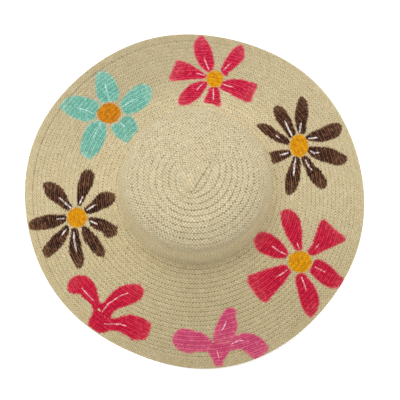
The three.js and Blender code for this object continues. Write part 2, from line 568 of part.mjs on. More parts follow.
const RED_SPRIG_LEAVES = [
  [[-133.1,95,-130.6,88], [-135.2,95.4,-132.8,81.4], [-137.3,95.8,-135.3,76.2],
   [-139.2,97.4,-138.1,72.9], [-140.7,102.5,-141.1,73.7], [-142.5,105.1,-143.5,78.8],
   [-144.1,101.1,-144.8,87.4]],
  [[-129.2,76.1,-124.8,94], [-129,67.7,-124.3,85.7], [-128.4,59.5,-123.3,77.2],
   [-127.3,51.9,-121.6,69.9], [-125.4,45.6,-119.7,63.1], [-122.9,40.8,-117.8,55.9],
   [-119.9,37.5,-116.7,47.9]],
  [[-120.3,83.6,-124.7,105.5], [-118.5,79.2,-123.4,114.5], [-116.6,75.6,-121.5,107.6],
   [-114.4,74,-119,103.7], [-112.2,73.6,-116.4,102.5], [-110,74.7,-113.8,104.3],
   [-108.5,79,-111.3,102.1]],
];
const RED_SPRIG_STEM = [
  [-125.5,96.9,-129.6,90.5], [-125.7,101.4,-130.2,95.2], [-125.5,106.1,-131.3,96.7],
  [-125.1,110.4,-130.6,101.3], [-124.4,114.5,-130.1,106.4], [-124.3,118.2,-129.9,111.9],
  [-125.1,121,-129.6,117.3],
];
const PINK_SPRIG_LEAVES = [
  [[-85.6,98.9,-86.3,80.5], [-87.4,100.3,-88.1,77.2], [-89.3,100.5,-90.1,75],
   [-91.2,102.1,-92.1,73.2], [-93,102.2,-94.2,72.7], [-94.9,101.2,-96.3,74.6],
   [-96.6,98.4,-97.7,79.3]],
  [[-82.7,83.7,-77.4,90.7], [-82.2,77,-75.7,87.8], [-81.2,70.8,-74.3,83.3],
   [-79.9,65.1,-73.3,77.8], [-78.5,59.9,-72.6,71.6], [-76.7,55.1,-72.6,65.1], [-74.5,52.1,-71.8,59.1]],
  [[-75,90.7,-76.8,102], [-73.2,88.8,-74.9,104.1], [-71.2,88.6,-73.1,107.9],
   [-69.4,90.9,-71.9,114.5], [-67.9,94.8,-70.7,120.8], [-66.6,100,-69,121.9],
   [-65.6,105.7,-67.1,121.9]],
];
const PINK_SPRIG_STEM = [
  [-78.2,95.2,-84,92.8], [-78,98.5,-84.3,97.4], [-78.1,102.5,-84.8,101.8],
  [-78.6,106.2,-84.6,106.2], [-79.4,109.2,-84.2,110.5], [-80.1,112.3,-83.8,115.1],
  [-80.7,116,-83.4,119.5],
];

// name, petal colour, petals, disc colour, disc
const FLOWERS = [
  ['turquoise', 0x6fc2ac, TURQUOISE_PETALS, 0xd9820f, TURQUOISE_DISC],
  ['crimson', 0xd01c4c, CRIMSON_PETALS, 0xe0a012, CRIMSON_DISC],
  ['brown_right', 0x4a2a1c, BROWN_RIGHT_PETALS, 0xe2a013, BROWN_RIGHT_DISC],
  ['brown_left', 0x4a2a1c, BROWN_LEFT_PETALS, 0xe4a516, BROWN_LEFT_DISC],
  ['red', 0xc81a45, RED_PETALS, 0xdc9c14, RED_DISC],
];
// name, colour, leaves, stem
const SPRIGS = [
  ['red_sprig', 0xcc1c4a, RED_SPRIG_LEAVES, RED_SPRIG_STEM],
  ['pink_sprig', 0xcc4677, PINK_SPRIG_LEAVES, PINK_SPRIG_STEM],
];

// Thin layer over the brim. Spots are [angle, slant distance]; the rim lists the
// border spots in the same sense as the faces.
function addPaint(name, spots, faces, rim, colour) {
  const top = spots.length;
  const points = [PAINT_LIFT, PAINT_LIFT + PAINT_THICK].flatMap(lift =>
    spots.map(([angle, distance]) => toXYZ(angle, brim(angle, distance, lift))));
  const solidFaces = faces.flatMap(([a, b, c]) => [[a, c, b], [top + a, top + b, top + c]]);
  rim.forEach((a, i) => {
    const b = rim[(i + 1) % rim.length];
    solidFaces.push([a, b, top + b], [a, top + b, top + a]);
  });
  addSolid(name, points, solidFaces, paint(colour));
}

function paintDisc(name, rimSpots, colour) {
  const count = rimSpots.length;
  const mean = column => rimSpots.reduce((sum, spot) => sum + spot[column], 0) / count;
  const rim = rimSpots.map((_, i) => i + 1);
  const faces = rim.map((a, i) => [0, a, rim[(i + 1) % count]]);
  addPaint(name, [[mean(0), mean(1)], ...rimSpots], faces, rim, colour);
}

// three spots a station: one side, the middle, the other side
function paintBlade(name, stations, colour) {
  const spots = stations.flatMap(([angleA, distanceA, angleB, distanceB]) => [
    [angleA, distanceA],
    [(angleA + angleB) / 2, (distanceA + distanceB) / 2],
    [angleB, distanceB]]);
  const last = stations.length - 1;
  const faces = [];
  for (let i = 0; i < last; i++) {
    for (let j = 0; j < 2; j++) {
      const a = i * 3 + j;
      faces.push([a, a + 4, a + 1], [a, a + 3, a + 4]);
    }
  }
  const rim = [];
  for (let i = 0; i < last; i++) rim.push(i * 3);
  rim.push(last * 3, last * 3 + 1);
  for (let i = last; i > 0; i--) rim.push(i * 3 + 2);
  rim.push(2, 1);
  addPaint(name, spots, faces, rim, colour);
}

function buildPaint() {
  for (const [name, colour, petals, discColour, disc] of FLOWERS) {
    petals.forEach((petal, i) => paintBlade(`${name}_petal_${i + 1}`, petal, colour));
    paintDisc(`${name}_disc`, disc, discColour);
  }
  for (const [name, colour, leaves, stem] of SPRIGS) {
    leaves.forEach((leaf, i) => paintBlade(`${name}_leaf_${i + 1}`, leaf, colour));
    paintBlade(`${name}_stem`, stem, colour);
  }
}

// ---------- stand the hat on its brim ----------
// turn the rest plane level, then move the bounding box's bottom centre to the origin
function standOnBrim() {
  const turn = new THREE.Quaternion()
    .setFromUnitVectors(REST_NORMAL, new THREE.Vector3(0, 0, -1));
  for (const mesh of group.children) mesh.geometry.applyQuaternion(turn);
  const { min, max } = new THREE.Box3().setFromObject(group, true);
  for (const mesh of group.children) {
    mesh.geometry.translate((min.x + max.x) / -2, (min.y + max.y) / -2, -min.z);
  }
}

buildCrownTip();
buildCrownSide();
buildBrim();
buildHem();
buildWire();
buildSleeve();
buildBand();
buildPatch();
buildStitching();
buildCord();
buildStopper();
buildLabel();
buildPaint();
standOnBrim();

export default group;
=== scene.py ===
# A straw sun hat: one plaited strip sewn in a spiral, flowers painted on the brim, and a
# sweatband, draw cord and care label inside the crown. The hat stands on its brim.
# Shapes are worked out in millimetres in the crown's frame: z up the crown's axis, 0 at the fold
# between crown and brim, x to the right, -y to the front. to_scene() takes them to the scene.
import math

import bpy
import numpy as np
from mathutils import Matrix, Vector


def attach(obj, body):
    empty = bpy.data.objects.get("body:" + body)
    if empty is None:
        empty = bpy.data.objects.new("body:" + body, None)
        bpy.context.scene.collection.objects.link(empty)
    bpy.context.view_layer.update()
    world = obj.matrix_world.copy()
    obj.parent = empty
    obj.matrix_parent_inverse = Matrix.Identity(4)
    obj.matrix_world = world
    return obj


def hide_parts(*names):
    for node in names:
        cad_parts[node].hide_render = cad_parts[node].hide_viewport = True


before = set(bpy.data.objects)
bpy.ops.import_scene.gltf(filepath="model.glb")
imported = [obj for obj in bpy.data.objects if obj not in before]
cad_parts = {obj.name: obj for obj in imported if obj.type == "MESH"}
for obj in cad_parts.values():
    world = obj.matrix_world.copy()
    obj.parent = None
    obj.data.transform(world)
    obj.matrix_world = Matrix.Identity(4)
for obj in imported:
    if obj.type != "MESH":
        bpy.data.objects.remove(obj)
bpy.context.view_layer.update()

SHELL = "hat_shell"

# ------------------------------------------------------------------ the hat's outer surface
DOME_RADIUS, DOME_APEX = 217.0, 87.0
SHOULDER_RADIUS = 17.0                              # between dome and wall
WALL_ANGLE = math.radians(80.4)                     # down from level
WALL_END = (91.6, 6.2)                              # radius and height of the wall's foot
FILLET_RADIUS = 6.0                                 # between wall and brim
BRIM_IN_ANGLE, BRIM_OUT_ANGLE = math.radians(13.0), math.radians(28.35)
BRIM_WIDTH = 124.65
HEM_WIDTH = 12.0
# cosine and sine parts of the first six waves round the brim: droop in degrees, width in mm
DROOP_WAVES = [(1.0, -5.89), (-0.68, 3.43), (2.08, -2.07), (-0.61, -1.64), (-1.16, 0.49),
               (-0.51, 2.0)]
WIDTH_WAVES = [(-0.08, 0.09), (-0.1, -0.06), (0.1, 0.02), (0.02, -0.15), (-0.24, 0.02),
               (-0.64, 0.04)]
# turn and shift from the crown's frame to the scene, mm
TURN = np.array([[0.9999464306973425, -0.00011169328998538881, 0.010350036727170489],
                 [-0.00011169328998538881, 0.9997671167924749, 0.0215800765770376],
                 [-0.010350036727170489, -0.0215800765770376, 0.9997135474898174]])
SHIFT = np.array([1.2936630249023438, -0.36556243896484375, 49.930904388427734])

DOME_CENTRE = DOME_APEX - DOME_RADIUS
DOME_ANGLE = WALL_ANGLE - math.acos(
    (WALL_END[0] * math.sin(WALL_ANGLE) + WALL_END[1] * math.cos(WALL_ANGLE) - SHOULDER_RADIUS
     - DOME_CENTRE * math.cos(WALL_ANGLE)) / (DOME_RADIUS - SHOULDER_RADIUS))
SHOULDER_CENTRE = ((DOME_RADIUS - SHOULDER_RADIUS) * math.sin(DOME_ANGLE),
                   DOME_CENTRE + (DOME_RADIUS - SHOULDER_RADIUS) * math.cos(DOME_ANGLE))
WALL_TOP = (SHOULDER_CENTRE[0] + SHOULDER_RADIUS * math.sin(WALL_ANGLE),
            SHOULDER_CENTRE[1] + SHOULDER_RADIUS * math.cos(WALL_ANGLE))
# profile length from the apex to the end of dome, shoulder, wall and fillet
DOME_LEN = DOME_RADIUS * DOME_ANGLE
SHOULDER_LEN = DOME_LEN + SHOULDER_RADIUS * (WALL_ANGLE - DOME_ANGLE)
WALL_LEN = SHOULDER_LEN + math.hypot(WALL_END[0] - WALL_TOP[0], WALL_END[1] - WALL_TOP[1])
CROWN_LEN = WALL_LEN + FILLET_RADIUS * (WALL_ANGLE - BRIM_IN_ANGLE)


def crown_profile(length):
    """Radius, height and slope at a profile length from the apex."""
    length = np.asarray(length, float)
    dome = length / DOME_RADIUS
    shoulder = DOME_ANGLE + (length - DOME_LEN) / SHOULDER_RADIUS
    down = length - SHOULDER_LEN
    fillet = WALL_ANGLE - (length - WALL_LEN) / FILLET_RADIUS
    where = [length <= DOME_LEN, length <= SHOULDER_LEN, length <= WALL_LEN]
    radius = np.select(where, [
        DOME_RADIUS * np.sin(dome),
        SHOULDER_CENTRE[0] + SHOULDER_RADIUS * np.sin(shoulder),
        WALL_TOP[0] + down * math.cos(WALL_ANGLE),
    ], WALL_END[0] + FILLET_RADIUS * (math.sin(WALL_ANGLE) - np.sin(fillet)))
    height = np.select(where, [
        DOME_CENTRE + DOME_RADIUS * np.cos(dome),
        SHOULDER_CENTRE[1] + SHOULDER_RADIUS * np.cos(shoulder),
        WALL_TOP[1] - down * math.sin(WALL_ANGLE),
    ], WALL_END[1] - FILLET_RADIUS * (np.cos(fillet) - math.cos(WALL_ANGLE)))
    return radius, height, np.select(where, [dome, shoulder, WALL_ANGLE], fillet)


def waves(table, angle):
    total = np.zeros_like(angle)
    for k, (cosine, sine) in enumerate(table, 1):
        total = total + cosine * np.cos(k * angle) + sine * np.sin(k * angle)
    return total


def brim_tables():
    """Radius, height and slope of the brim, by angle (rows) and share of its width (columns)."""
    angles = np.linspace(0, 2 * math.pi, BRIM_ANGLES)
    share = BRIM_SHARES[None]
    slope = (BRIM_IN_ANGLE + (BRIM_OUT_ANGLE - BRIM_IN_ANGLE) * share
             + np.radians(waves(DROOP_WAVES, angles))[:, None] * share ** 1.5)
    step = (BRIM_WIDTH + waves(WIDTH_WAVES, angles))[:, None] * (BRIM_SHARES[1] - BRIM_SHARES[0])
    radius, height, _ = crown_profile(CROWN_LEN)

    def summed(part):
        middle = (part[:, 1:] + part[:, :-1]) / 2
        return np.concatenate([np.zeros((BRIM_ANGLES, 1)), np.cumsum(middle, 1)], 1) * step

    return radius + summed(np.cos(slope)), height - summed(np.sin(slope)), slope


BRIM_ANGLES = 721
BRIM_SHARES = np.linspace(0, 1.07, 270)
BRIM_TABLES = brim_tables()


def brim_profile(angle, length):
    """Radius, height and slope at a slant length from the fold, read from the tables."""
    row = (np.asarray(angle, float) / (2 * math.pi)) % 1.0 * (BRIM_ANGLES - 1)
    last = len(BRIM_SHARES) - 1
    column = np.clip(np.asarray(length, float) / BRIM_WIDTH / BRIM_SHARES[-1] * last,
                     0, last - 0.001)
    row, column = np.broadcast_arrays(row, column)
    i, j = np.minimum(row.astype(int), BRIM_ANGLES - 2), column.astype(int)
    u, v = row - i, column - j
    return [t[i, j] * (1 - u) * (1 - v) + t[i + 1, j] * u * (1 - v)
            + t[i, j + 1] * (1 - u) * v + t[i + 1, j + 1] * u * v for t in BRIM_TABLES]


def surface(angle, length, out):
    """Point at an angle and a profile length from the apex, out mm off the outer surface."""
    angle, length, out = np.broadcast_arrays(*(np.asarray(v, float) for v in (angle, length, out)))
    crown = crown_profile(np.minimum(length, CROWN_LEN))
    brim = brim_profile(angle, np.maximum(length - CROWN_LEN, 0))
    radius, z, slope = (np.where(length > CROWN_LEN, b, c) for b, c in zip(brim, crown))
    radius = radius + out * np.sin(slope)
    return np.stack([radius * np.cos(angle), radius * np.sin(angle), z + out * np.cos(slope)], -1)


def to_scene(points):
    """Crown's frame in millimetres to the scene in metres."""
    return (np.asarray(points, float) @ TURN.T + SHIFT) * 0.001


# ------------------------------------------------------------------ number helpers
def hash01(*keys):
    mixed = sum(np.asarray(key, float) * factor for key, factor in zip(keys, (12.9898, 78.233)))
    return np.modf(np.abs(np.sin(mixed + 1.7) * 43758.5453))[0]


def wobble(along, seed, scale):
    """Smooth noise along a length, about -1 to 1."""
    out = np.zeros(np.shape(along))
    for k in range(1, 5):
        phase = float(hash01(np.array(seed * 7.1 + k * 3.3))) * 6.28
        out = out + np.sin(np.asarray(along) / scale * (0.7 + 0.83 * k) + phase) / (1 + 0.4 * k)
    return out / 1.9


def smooth01(x):
    x = np.clip(x, 0, 1)
    return x * x * (3 - 2 * x)


def running(steps):
    return np.concatenate([[0], np.cumsum(steps)])


def path_length(points):
    """Running length along a line of points in the plane."""
    return running(np.hypot(*np.diff(points, axis=0).T))


def strip_coords(along, across):
    """Values of the "strip" attribute, mm."""
    return np.stack(np.broadcast_arrays(along, across, 0.0), -1)


def there_and_back(front, back):
    """Closes a sheet's section: over the front, then back along the other side."""
    return np.concatenate([front, back[:, ::-1]], 1)


def cylinder(radius, angle, z):
    return np.stack(np.broadcast_arrays(radius * np.cos(angle), radius * np.sin(angle), z), -1)


# ------------------------------------------------------------------ mesh helpers
NO_TRIS = np.zeros((0, 3), int)


def points_in(verts, quads, tris):
    """True where a closed mesh's faces point inwards."""
    v = np.asarray(verts, float)
    v = v - v.mean(0)
    a, b, c, d = (v[quads[:, k]] for k in range(4))
    volume = (np.einsum("ij,ij->i", a, np.cross(b, c)).sum()
              + np.einsum("ij,ij->i", a, np.cross(c, d)).sum())
    a, b, c = (v[tris[:, k]] for k in range(3))
    return volume + np.einsum("ij,ij->i", a, np.cross(b, c)).sum() < 0


def flat_floats(values):
    return np.ascontiguousarray(values, np.float32).ravel()


def add_mesh(name, verts, quads, material, node, attributes, strip, uv,
             tris=NO_TRIS, body=SHELL):
    """verts in scene metres; uv holds one pair per face corner, quads first."""
    if points_in(verts, quads, tris):
        quads, tris = quads[:, ::-1], tris[:, ::-1]
        cut = len(quads) * 4
        uv = np.concatenate([uv[:cut].reshape(-1, 4, 2)[:, ::-1].reshape(-1, 2),
                             uv[cut:].reshape(-1, 3, 2)[:, ::-1].reshape(-1, 2)])
    mesh = bpy.data.meshes.new(name)
    mesh.vertices.add(len(verts))
    mesh.vertices.foreach_set("co", flat_floats(verts))
    loops = np.concatenate([quads.ravel(), tris.ravel()]).astype(np.int32)
    mesh.loops.add(len(loops))
    mesh.loops.foreach_set("vertex_index", loops)
    quad_count, tri_count = len(quads), len(tris)
    mesh.polygons.add(quad_count + tri_count)
    starts = [np.arange(quad_count) * 4, quad_count * 4 + np.arange(tri_count) * 3]
    mesh.polygons.foreach_set("loop_start", np.concatenate(starts).astype(np.int32))
    mesh.update(calc_edges=True)
    mesh.polygons.foreach_set("use_smooth", np.full(quad_count + tri_count, True))
    for key, values in attributes.items():
        layer = mesh.attributes.new(key, "FLOAT", "POINT")
        layer.data.foreach_set("value", flat_floats(values))
    mesh.uv_layers.new(name="OFBake").data.foreach_set("uv", flat_floats(uv))
    mesh.validate(verbose=False)
    mesh.update()
    made = bpy.data.objects.new(name, mesh)
    bpy.context.scene.collection.objects.link(made)
    mesh.materials.append(material)
    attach(made, body)
    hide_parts(node)
    layer = mesh.attributes.new("strip", "FLOAT_VECTOR", "POINT")
    layer.data.foreach_set("vector", flat_floats(strip))


def sweep_quads(n, m, closed=False):
    """Quads of n stations with a ring of m points each; closed joins the last to the first."""
    I, J = np.meshgrid(np.arange(n if closed else n - 1), np.arange(m), indexing="ij")
    I2, J2 = (I + 1) % n, (J + 1) % m
    return np.stack([I * m + J, I2 * m + J, I2 * m + J2, I * m + J2], -1).reshape(-1, 4)


def end_caps(n, m):
    fan = np.array([[0, j, j + 1] for j in range(1, m - 1)])
    return np.concatenate([fan, fan[:, ::-1] + (n - 1) * m])


def strip_uv(n, m, bands):
    """Corner UVs that lay a long strip out in bands across the square."""
    per = math.ceil((n - 1) / bands)
    I, J = np.meshgrid(np.arange(n - 1), np.arange(m), indexing="ij")
    band, k = I // per, I % per
    u0, u1 = k / per, (k + 1) / per
    v0 = (band + (J + 0.15) / (m + 0.3)) / bands
    v1 = (band + (J + 1.15) / (m + 0.3)) / bands
    corners = [np.stack(uv, -1) for uv in ((u0, v0), (u1, v0), (u1, v1), (u0, v1))]
    return np.stack(corners, -2).reshape(-1, 2)


def add_sweep(name, rings, material, node, strip, bands, attributes=None, reverse=False,
              body=SHELL):
    """Capped tube through rings, an n x m x 3 grid in scene metres."""
    n, m = rings.shape[:2]
    quads, tris = sweep_quads(n, m), end_caps(n, m)
    uv = np.concatenate([strip_uv(n, m, bands), np.full((len(tris) * 3, 2), 0.001)])
    add_mesh(name, rings.reshape(-1, 3), quads[:, ::-1] if reverse else quads, material,
             node, attributes or {"cav": np.zeros(n * m)}, strip, uv, tris, body)


# ------------------------------------------------------------------ shader helpers
class Value:
    """A shader output that makes Math nodes when it is used in arithmetic."""

    def __init__(self, graph, socket):
        self.graph, self.socket = graph, socket

    def math(self, operation, *others, **settings):
        return self.graph.math(operation, self, *others, **settings)

    def __add__(self, other):
        return self.math("ADD", other)

    def __radd__(self, other):
        return self.graph.math("ADD", other, self)

    def __sub__(self, other):
        return self.math("SUBTRACT", other)

    def __rsub__(self, other):
        return self.graph.math("SUBTRACT", other, self)

    def __mul__(self, other):
        return self.math("MULTIPLY", other)

    def __truediv__(self, other):
        return self.math("DIVIDE", other)

    def span(self, start, end, low=0.0, high=1.0, smooth=True):
        """Maps start..end to low..high."""
        return self.graph.node("MapRange", dict(enumerate((self, start, end, low, high))),
                               interpolation_type="SMOOTHSTEP" if smooth else "LINEAR")


class Graph:
    """Makes and links the nodes of one node tree."""

    def __init__(self, tree):
        self.tree = tree

    def feed(self, target, value):
        if isinstance(value, Value):
            self.tree.links.new(value.socket, target)
        else:
            target.default_value = value

    def node(self, kind, inputs={}, output=0, **settings):
        made = self.tree.nodes.new("ShaderNode" + kind)
        for key, setting in settings.items():
            setattr(made, key, setting)
        for key, value in inputs.items():
            self.feed(made.inputs[key], value)
        return Value(self, made.outputs[output])

    def math(self, operation, *inputs, clamp=False):
        return self.node("Math", dict(enumerate(inputs)), operation=operation, use_clamp=clamp)

    def mix(self, share, first, second, blend="MIX"):
        return self.node("Mix", {0: share, 6: first, 7: second}, 2,
                         data_type="RGBA", blend_type=blend, clamp_factor=True)

    def shade(self, colour, factor):
        return self.mix(1.0, colour, self.vector(factor, factor, factor), "MULTIPLY")

    def vector(self, x, y, z=0.0):
        return self.node("CombineXYZ", {0: x, 1: y, 2: z})

    def parts(self, vector):
        split = self.node("SeparateXYZ", {0: vector})
        return [Value(self, output) for output in split.socket.node.outputs]

    def noise(self, vector, detail, scale=1.0):
        return self.node("TexNoise", {"Vector": vector, "Scale": scale, "Detail": detail}, "Fac")

    def white(self, x, y, z):
        return self.node("TexWhiteNoise", {"Vector": self.vector(x, y, z)}, "Value")

    def attribute(self, name, output="Fac"):
        return self.node("Attribute", {}, output, attribute_name=name)

    def strip(self):
        """Millimetres along and across the strip."""
        return self.parts(self.attribute("strip", "Vector"))[:2]

    def coords(self, kind="Object"):
        return self.node("TexCoord", {}, kind)

    def bump(self, height, strength, distance):
        return self.node("Bump", {"Strength": strength, "Distance": distance, "Height": height},
                         "Normal")

    def surface(self, inputs):
        """Feeds the material's Principled shader."""
        for key, value in inputs.items():
            self.feed(self.tree.nodes["Principled BSDF"].inputs[key], value)


def new_material(name):
    material = bpy.data.materials.new(name)
    material.use_nodes = True
    return material, Graph(material.node_tree)


def rgb(*levels):
    """sRGB 0-255 to a linear colour."""
    return tuple((x / 255 / 12.92) if x / 255 <= 0.04045 else ((x / 255 + 0.055) / 1.055) ** 2.4
                 for x in levels) + (1.0,)


# ------------------------------------------------------------------ plaited straw, plain and painted
RIB = 3.2                       # across the strip from one ridge to the next, mm
CELL = 3.7                      # along the strip from one crossing of the plait to the next, mm
RIB_WAVE = 2 * math.pi / RIB


def plait_nodes(g):
    """Across, strand height, hole mask, strand number, fibres and cell number of the plait."""
    along, across = g.strip()
    sway = g.noise(g.vector(along * 0.13, across * 0.5), detail=1.0)
    swayed = along + (sway - 0.5) * 0.9
    # the two diagonal sets of strands, counted in cells
    a = (swayed + across) / CELL
    b = (swayed - across) / CELL
    bulge_a = (a.math("FRACT") * math.pi).math("SINE")
    bulge_b = (b.math("FRACT") * math.pi).math("SINE")
    number_a, number_b = a.math("FLOOR"), b.math("FLOOR")
    odd = (number_a + number_b).math("FLOORED_MODULO", 2.0)
    even = 1.0 - odd
    over = even * bulge_a + odd * bulge_b
    under = even * bulge_b + odd * bulge_a
    high = over.math("POWER", 0.6) * (0.55 + under * 0.45)
    # holes at some of the corners between strands
    corner = (1.0 - bulge_a) * (1.0 - bulge_b)
    chosen = g.white(a.math("ROUND"), b.math("ROUND"), 3.7)
    hole = corner.span(0.2, 0.6) * chosen.span(0.66, 0.98, smooth=False)
    # needle holes where a row's lip meets the next row
    off_middle = ((swayed / CELL).math("FRACT") - 0.5).math("ABSOLUTE")
    needle = off_middle.span(0.28, 0.14) * (across.span(1.35, 0.9) * across.span(0.1, 0.35))
    chosen = g.white((swayed / CELL).math("FLOOR"), 5.0, 1.0)
    needle = needle * chosen.span(0.3, 0.8, smooth=False)
    hole = hole.math("MAXIMUM", needle)
    strand = g.white(even * number_a + odd * number_b, odd, 9.1)
    # fibres run along the strand that lies on top
    run = even * b + odd * a
    width = even * a + odd * b
    fibre = g.noise(g.vector(run * 1.5, width * 11.0, strand), detail=2.0)
    cell = g.white(number_a, number_b, 6.3)
    return along, across, high, hole, strand, fibre, cell


def straw_material(name, tint=(1.0, 1.0, 1.0)):
    material, g = new_material(name)
    along, across, high, hole, strand, fibre, cell = plait_nodes(g)

    def tinted(*levels):
        return tuple(a * b for a, b in zip(rgb(*levels)[:3], tint)) + (1.0,)

    light, dark = tinted(212, 201, 169), tinted(150, 135, 98)
    warm, pale = tinted(207, 185, 148), tinted(228, 219, 193)
    broad = g.noise(g.vector(along * 0.02, across * 0.15, 2.0), detail=2.0)
    brim = g.attribute("warm")
    # painted shade between the strands, lighter on their tops, then each strand's own tint
    colour = g.mix(high.span(0.1, 0.85), g.mix(brim * 0.2, dark, light), light)
    colour = g.mix(strand.span(0.6, 1.0) * 0.4, colour, pale)
    colour = g.mix(strand.span(0.4, 0.0) * 0.25, colour, warm)
    colour = g.mix(broad.span(0.35, 0.7) * 0.25, colour, warm)
    colour = g.mix(fibre.span(0.3, 0.7) * 0.22, colour, dark)
    # painted shade in the seams, on the rows' lips, round the start fold and in the hem's groove,
    # from the cav attribute
    colour = g.mix(g.attribute("cav") * 0.45, colour, rgb(110, 94, 50))
    # on the brim, painted shade along the seam under each row's lip, stronger in front, and a faint
    # dark line along the middle of each row
    line = (across - 3.6).math("ABSOLUTE").span(0.8, 0.1) * 0.12
    seam = (across - 0.5).math("ABSOLUTE").span(0.9, 0.2) * 0.26
    colour = g.mix((line + seam) * brim, colour, rgb(122, 106, 62))
    # yellower on the brim and most in front, where this stands for painted shade
    yellower = g.mix(1.0, colour, (1.0, 0.962, 0.86, 1.0), "MULTIPLY")
    colour = g.mix(brim, colour, yellower)
    # painted light and shade by angle and height, times each cell's own tint
    colour = g.shade(colour, g.attribute("painted_light") * cell.span(0.0, 1.0, 0.93, 1.07, smooth=False))
    colour = g.mix(hole * (0.78 - brim * 0.22), colour, rgb(78, 62, 32))
    height = high * 0.6 + fibre * 0.35 - hole * 0.8
    g.surface({"Base Color": colour, "Roughness": fibre.span(0.2, 0.8, 0.56, 0.74),
               "Specular IOR Level": 0.22,
               "Normal": g.bump(height, strength=0.9, distance=0.0005)})
    return material


def paint_material(name, coat, deep, thin, pale, wash, skips, pooled, worn_rim, glint, mottle):
    """Brushed paint: it lies thick in the hollows between the strip's ribs, is rubbed thin on
    their far side and towards the rim, and has a broken pale stroke down the petal."""
    material, g = new_material(name)
    coat, deep, thin, pale, wash = (rgb(*levels) for levels in (coat, deep, thin, pale, wash))
    along, across, high, hole, strand, fibre, cell = plait_nodes(g)
    blot = g.noise(g.vector(along * 0.20, across * 0.26, 5.0), detail=2.5)
    dash = g.noise(g.vector(along * 0.33, across * 0.16, 8.0), detail=1.0)
    hollow = ((across - 1.0) * RIB_WAVE).math("COSINE")
    far_side = ((across - 2.55) * RIB_WAVE).math("COSINE")
    thick = hollow.span(-0.3, 0.8) * dash.span(0.62, 0.40, 0.35, 1.0)
    colour = g.shade(coat, cell.span(0.0, 1.0, 0.86, 1.10, smooth=False))
    # darker where the strands dip: painted shade there, and the paint lying thicker
    colour = g.mix(high.span(0.75, 0.1) * 0.7, colour, deep)
    colour = g.mix(thick * pooled, colour, deep)
    colour = g.mix(blot.span(0.46, 0.66) * mottle, colour, deep)
    # where the brush skips, and where the rim is worn
    rim, far = g.attribute("rim"), g.attribute("far")
    worn = rim * worn_rim + far.span(0.55, 1.0) * (skips * 0.5)
    skip = far_side.span(0.25, 0.9) * (dash + far * 0.14).span(0.38, 0.58, 0.12, 1.0)
    dry = (cell * 0.6 + fibre * 0.6).span(0.66, 0.95)
    skip = (skip * skips).math("ADD", dry * (skips * 0.6), clamp=True)
    frayed = worn * (0.45 + cell.span(0.3, 0.9) * 0.9)
    colour = g.mix(skip, colour, thin)
    colour = g.mix(frayed.math("MINIMUM", 0.95), colour, wash)
    # the pale stroke, broken by the straw
    broken = (high * 0.4 + (fibre * 0.5 + cell * 0.5)).span(0.45, 0.95)
    stroke = g.attribute("stroke").span(0.1, 0.7) * ((broken * 0.85 + 0.15) * glint)
    colour = g.mix(stroke, colour, pale)
    colour = g.mix(hole * 0.45, colour, deep)
    g.surface({"Base Color": colour, "Roughness": fibre.span(0.2, 0.8, 0.46, 0.66),
               "Specular IOR Level": 0.09,
               "Normal": g.bump(high * 0.6 + fibre * 0.25, strength=0.8, distance=0.0005)})
    return material


# ------------------------------------------------------------------ the spiral's row lines
# distance of each row line from the crown's axis along the dome, every 15 degrees round it, mm
ROW_LINES = [
    [15.7, 17.8, 23.4, 27.7, 23.2, 19.4, 17.1, 16.0, 15.2, 14.8, 15.2, 15.9,
     17.1, 18.8, 20.6, 22.4, 23.0, 22.7, 21.3, 18.7, 16.5, 15.2, 14.4, 14.6],
    [26.3, 27.4, 28.5, 29.2, 28.8, 27.3, 25.3, 23.4, 22.0, 21.3, 21.4, 22.1,
     23.4, 25.2, 27.1, 28.6, 29.0, 28.6, 27.2, 25.4, 24.7, 24.9, 25.1, 25.4],
    [32.5, 33.8, 35.0, 35.7, 35.3, 33.8, 31.9, 30.1, 28.8, 28.3, 28.6, 29.6,
     31.0, 32.6, 33.8, 34.4, 34.4, 34.1, 33.7, 32.9, 32.3, 32.0, 31.6, 31.7],
    [39.2, 40.1, 41.0, 41.6, 41.4, 40.3, 38.6, 36.9, 35.8, 35.5, 36.1, 37.2,
     38.5, 40.0, 41.3, 42.2, 42.1, 41.3, 40.3, 39.8, 39.5, 39.0, 38.7, 38.7],
    [45.6, 46.0, 46.7, 47.5, 47.7, 46.8, 45.5, 44.0, 43.0, 42.7, 43.1, 44.3,
     45.7, 47.0, 47.7, 48.1, 48.0, 47.5, 46.9, 46.7, 46.6, 46.2, 45.8, 45.5],
    [51.1, 51.7, 52.6, 53.2, 53.3, 52.7, 51.8, 50.9, 50.3, 50.3, 50.9, 52.1,
     53.6, 54.4, 54.6, 54.5, 54.5, 54.4, 54.0, 53.2, 52.7, 52.7, 52.3, 51.4],
    [57.9, 57.6, 57.8, 58.6, 59.1, 58.5, 57.6, 57.2, 57.2, 57.3, 57.7, 58.6,
     59.8, 60.5, 60.7, 60.7, 60.6, 60.3, 60.0, 59.7, 59.2, 58.5, 58.1, 58.0],
    [64.2, 63.4, 63.3, 64.2, 64.9, 64.4, 63.6, 63.4, 63.6, 63.9, 64.5, 65.5,
     66.6, 67.2, 67.4, 67.5, 67.3, 66.7, 66.1, 65.7, 65.3, 64.6, 64.3, 64.5],
    [70.7, 69.8, 69.4, 69.8, 70.2, 70.0, 69.7, 69.8, 70.2, 70.7, 71.4, 72.5,
     73.5, 73.9, 73.8, 73.6, 73.4, 73.1, 72.8, 72.8, 72.6, 72.1, 71.6, 71.3],
    [76.3, 75.6, 75.4, 75.7, 75.9, 75.7, 75.5, 75.6, 76.0, 76.4, 77.1, 77.9,
     78.8, 79.3, 79.5, 79.8, 80.1, 80.3, 80.1, 79.7, 79.3, 79.0, 78.3, 77.4],
    [82.8, 82.2, 82.0, 82.1, 83.8, 83.2, 81.8, 83.6, 83.6, 83.7, 84.0, 84.1,
     84.9, 85.5, 85.9, 86.4, 86.8, 86.7, 86.4, 86.2, 86.0, 85.5, 84.8, 83.8],
]
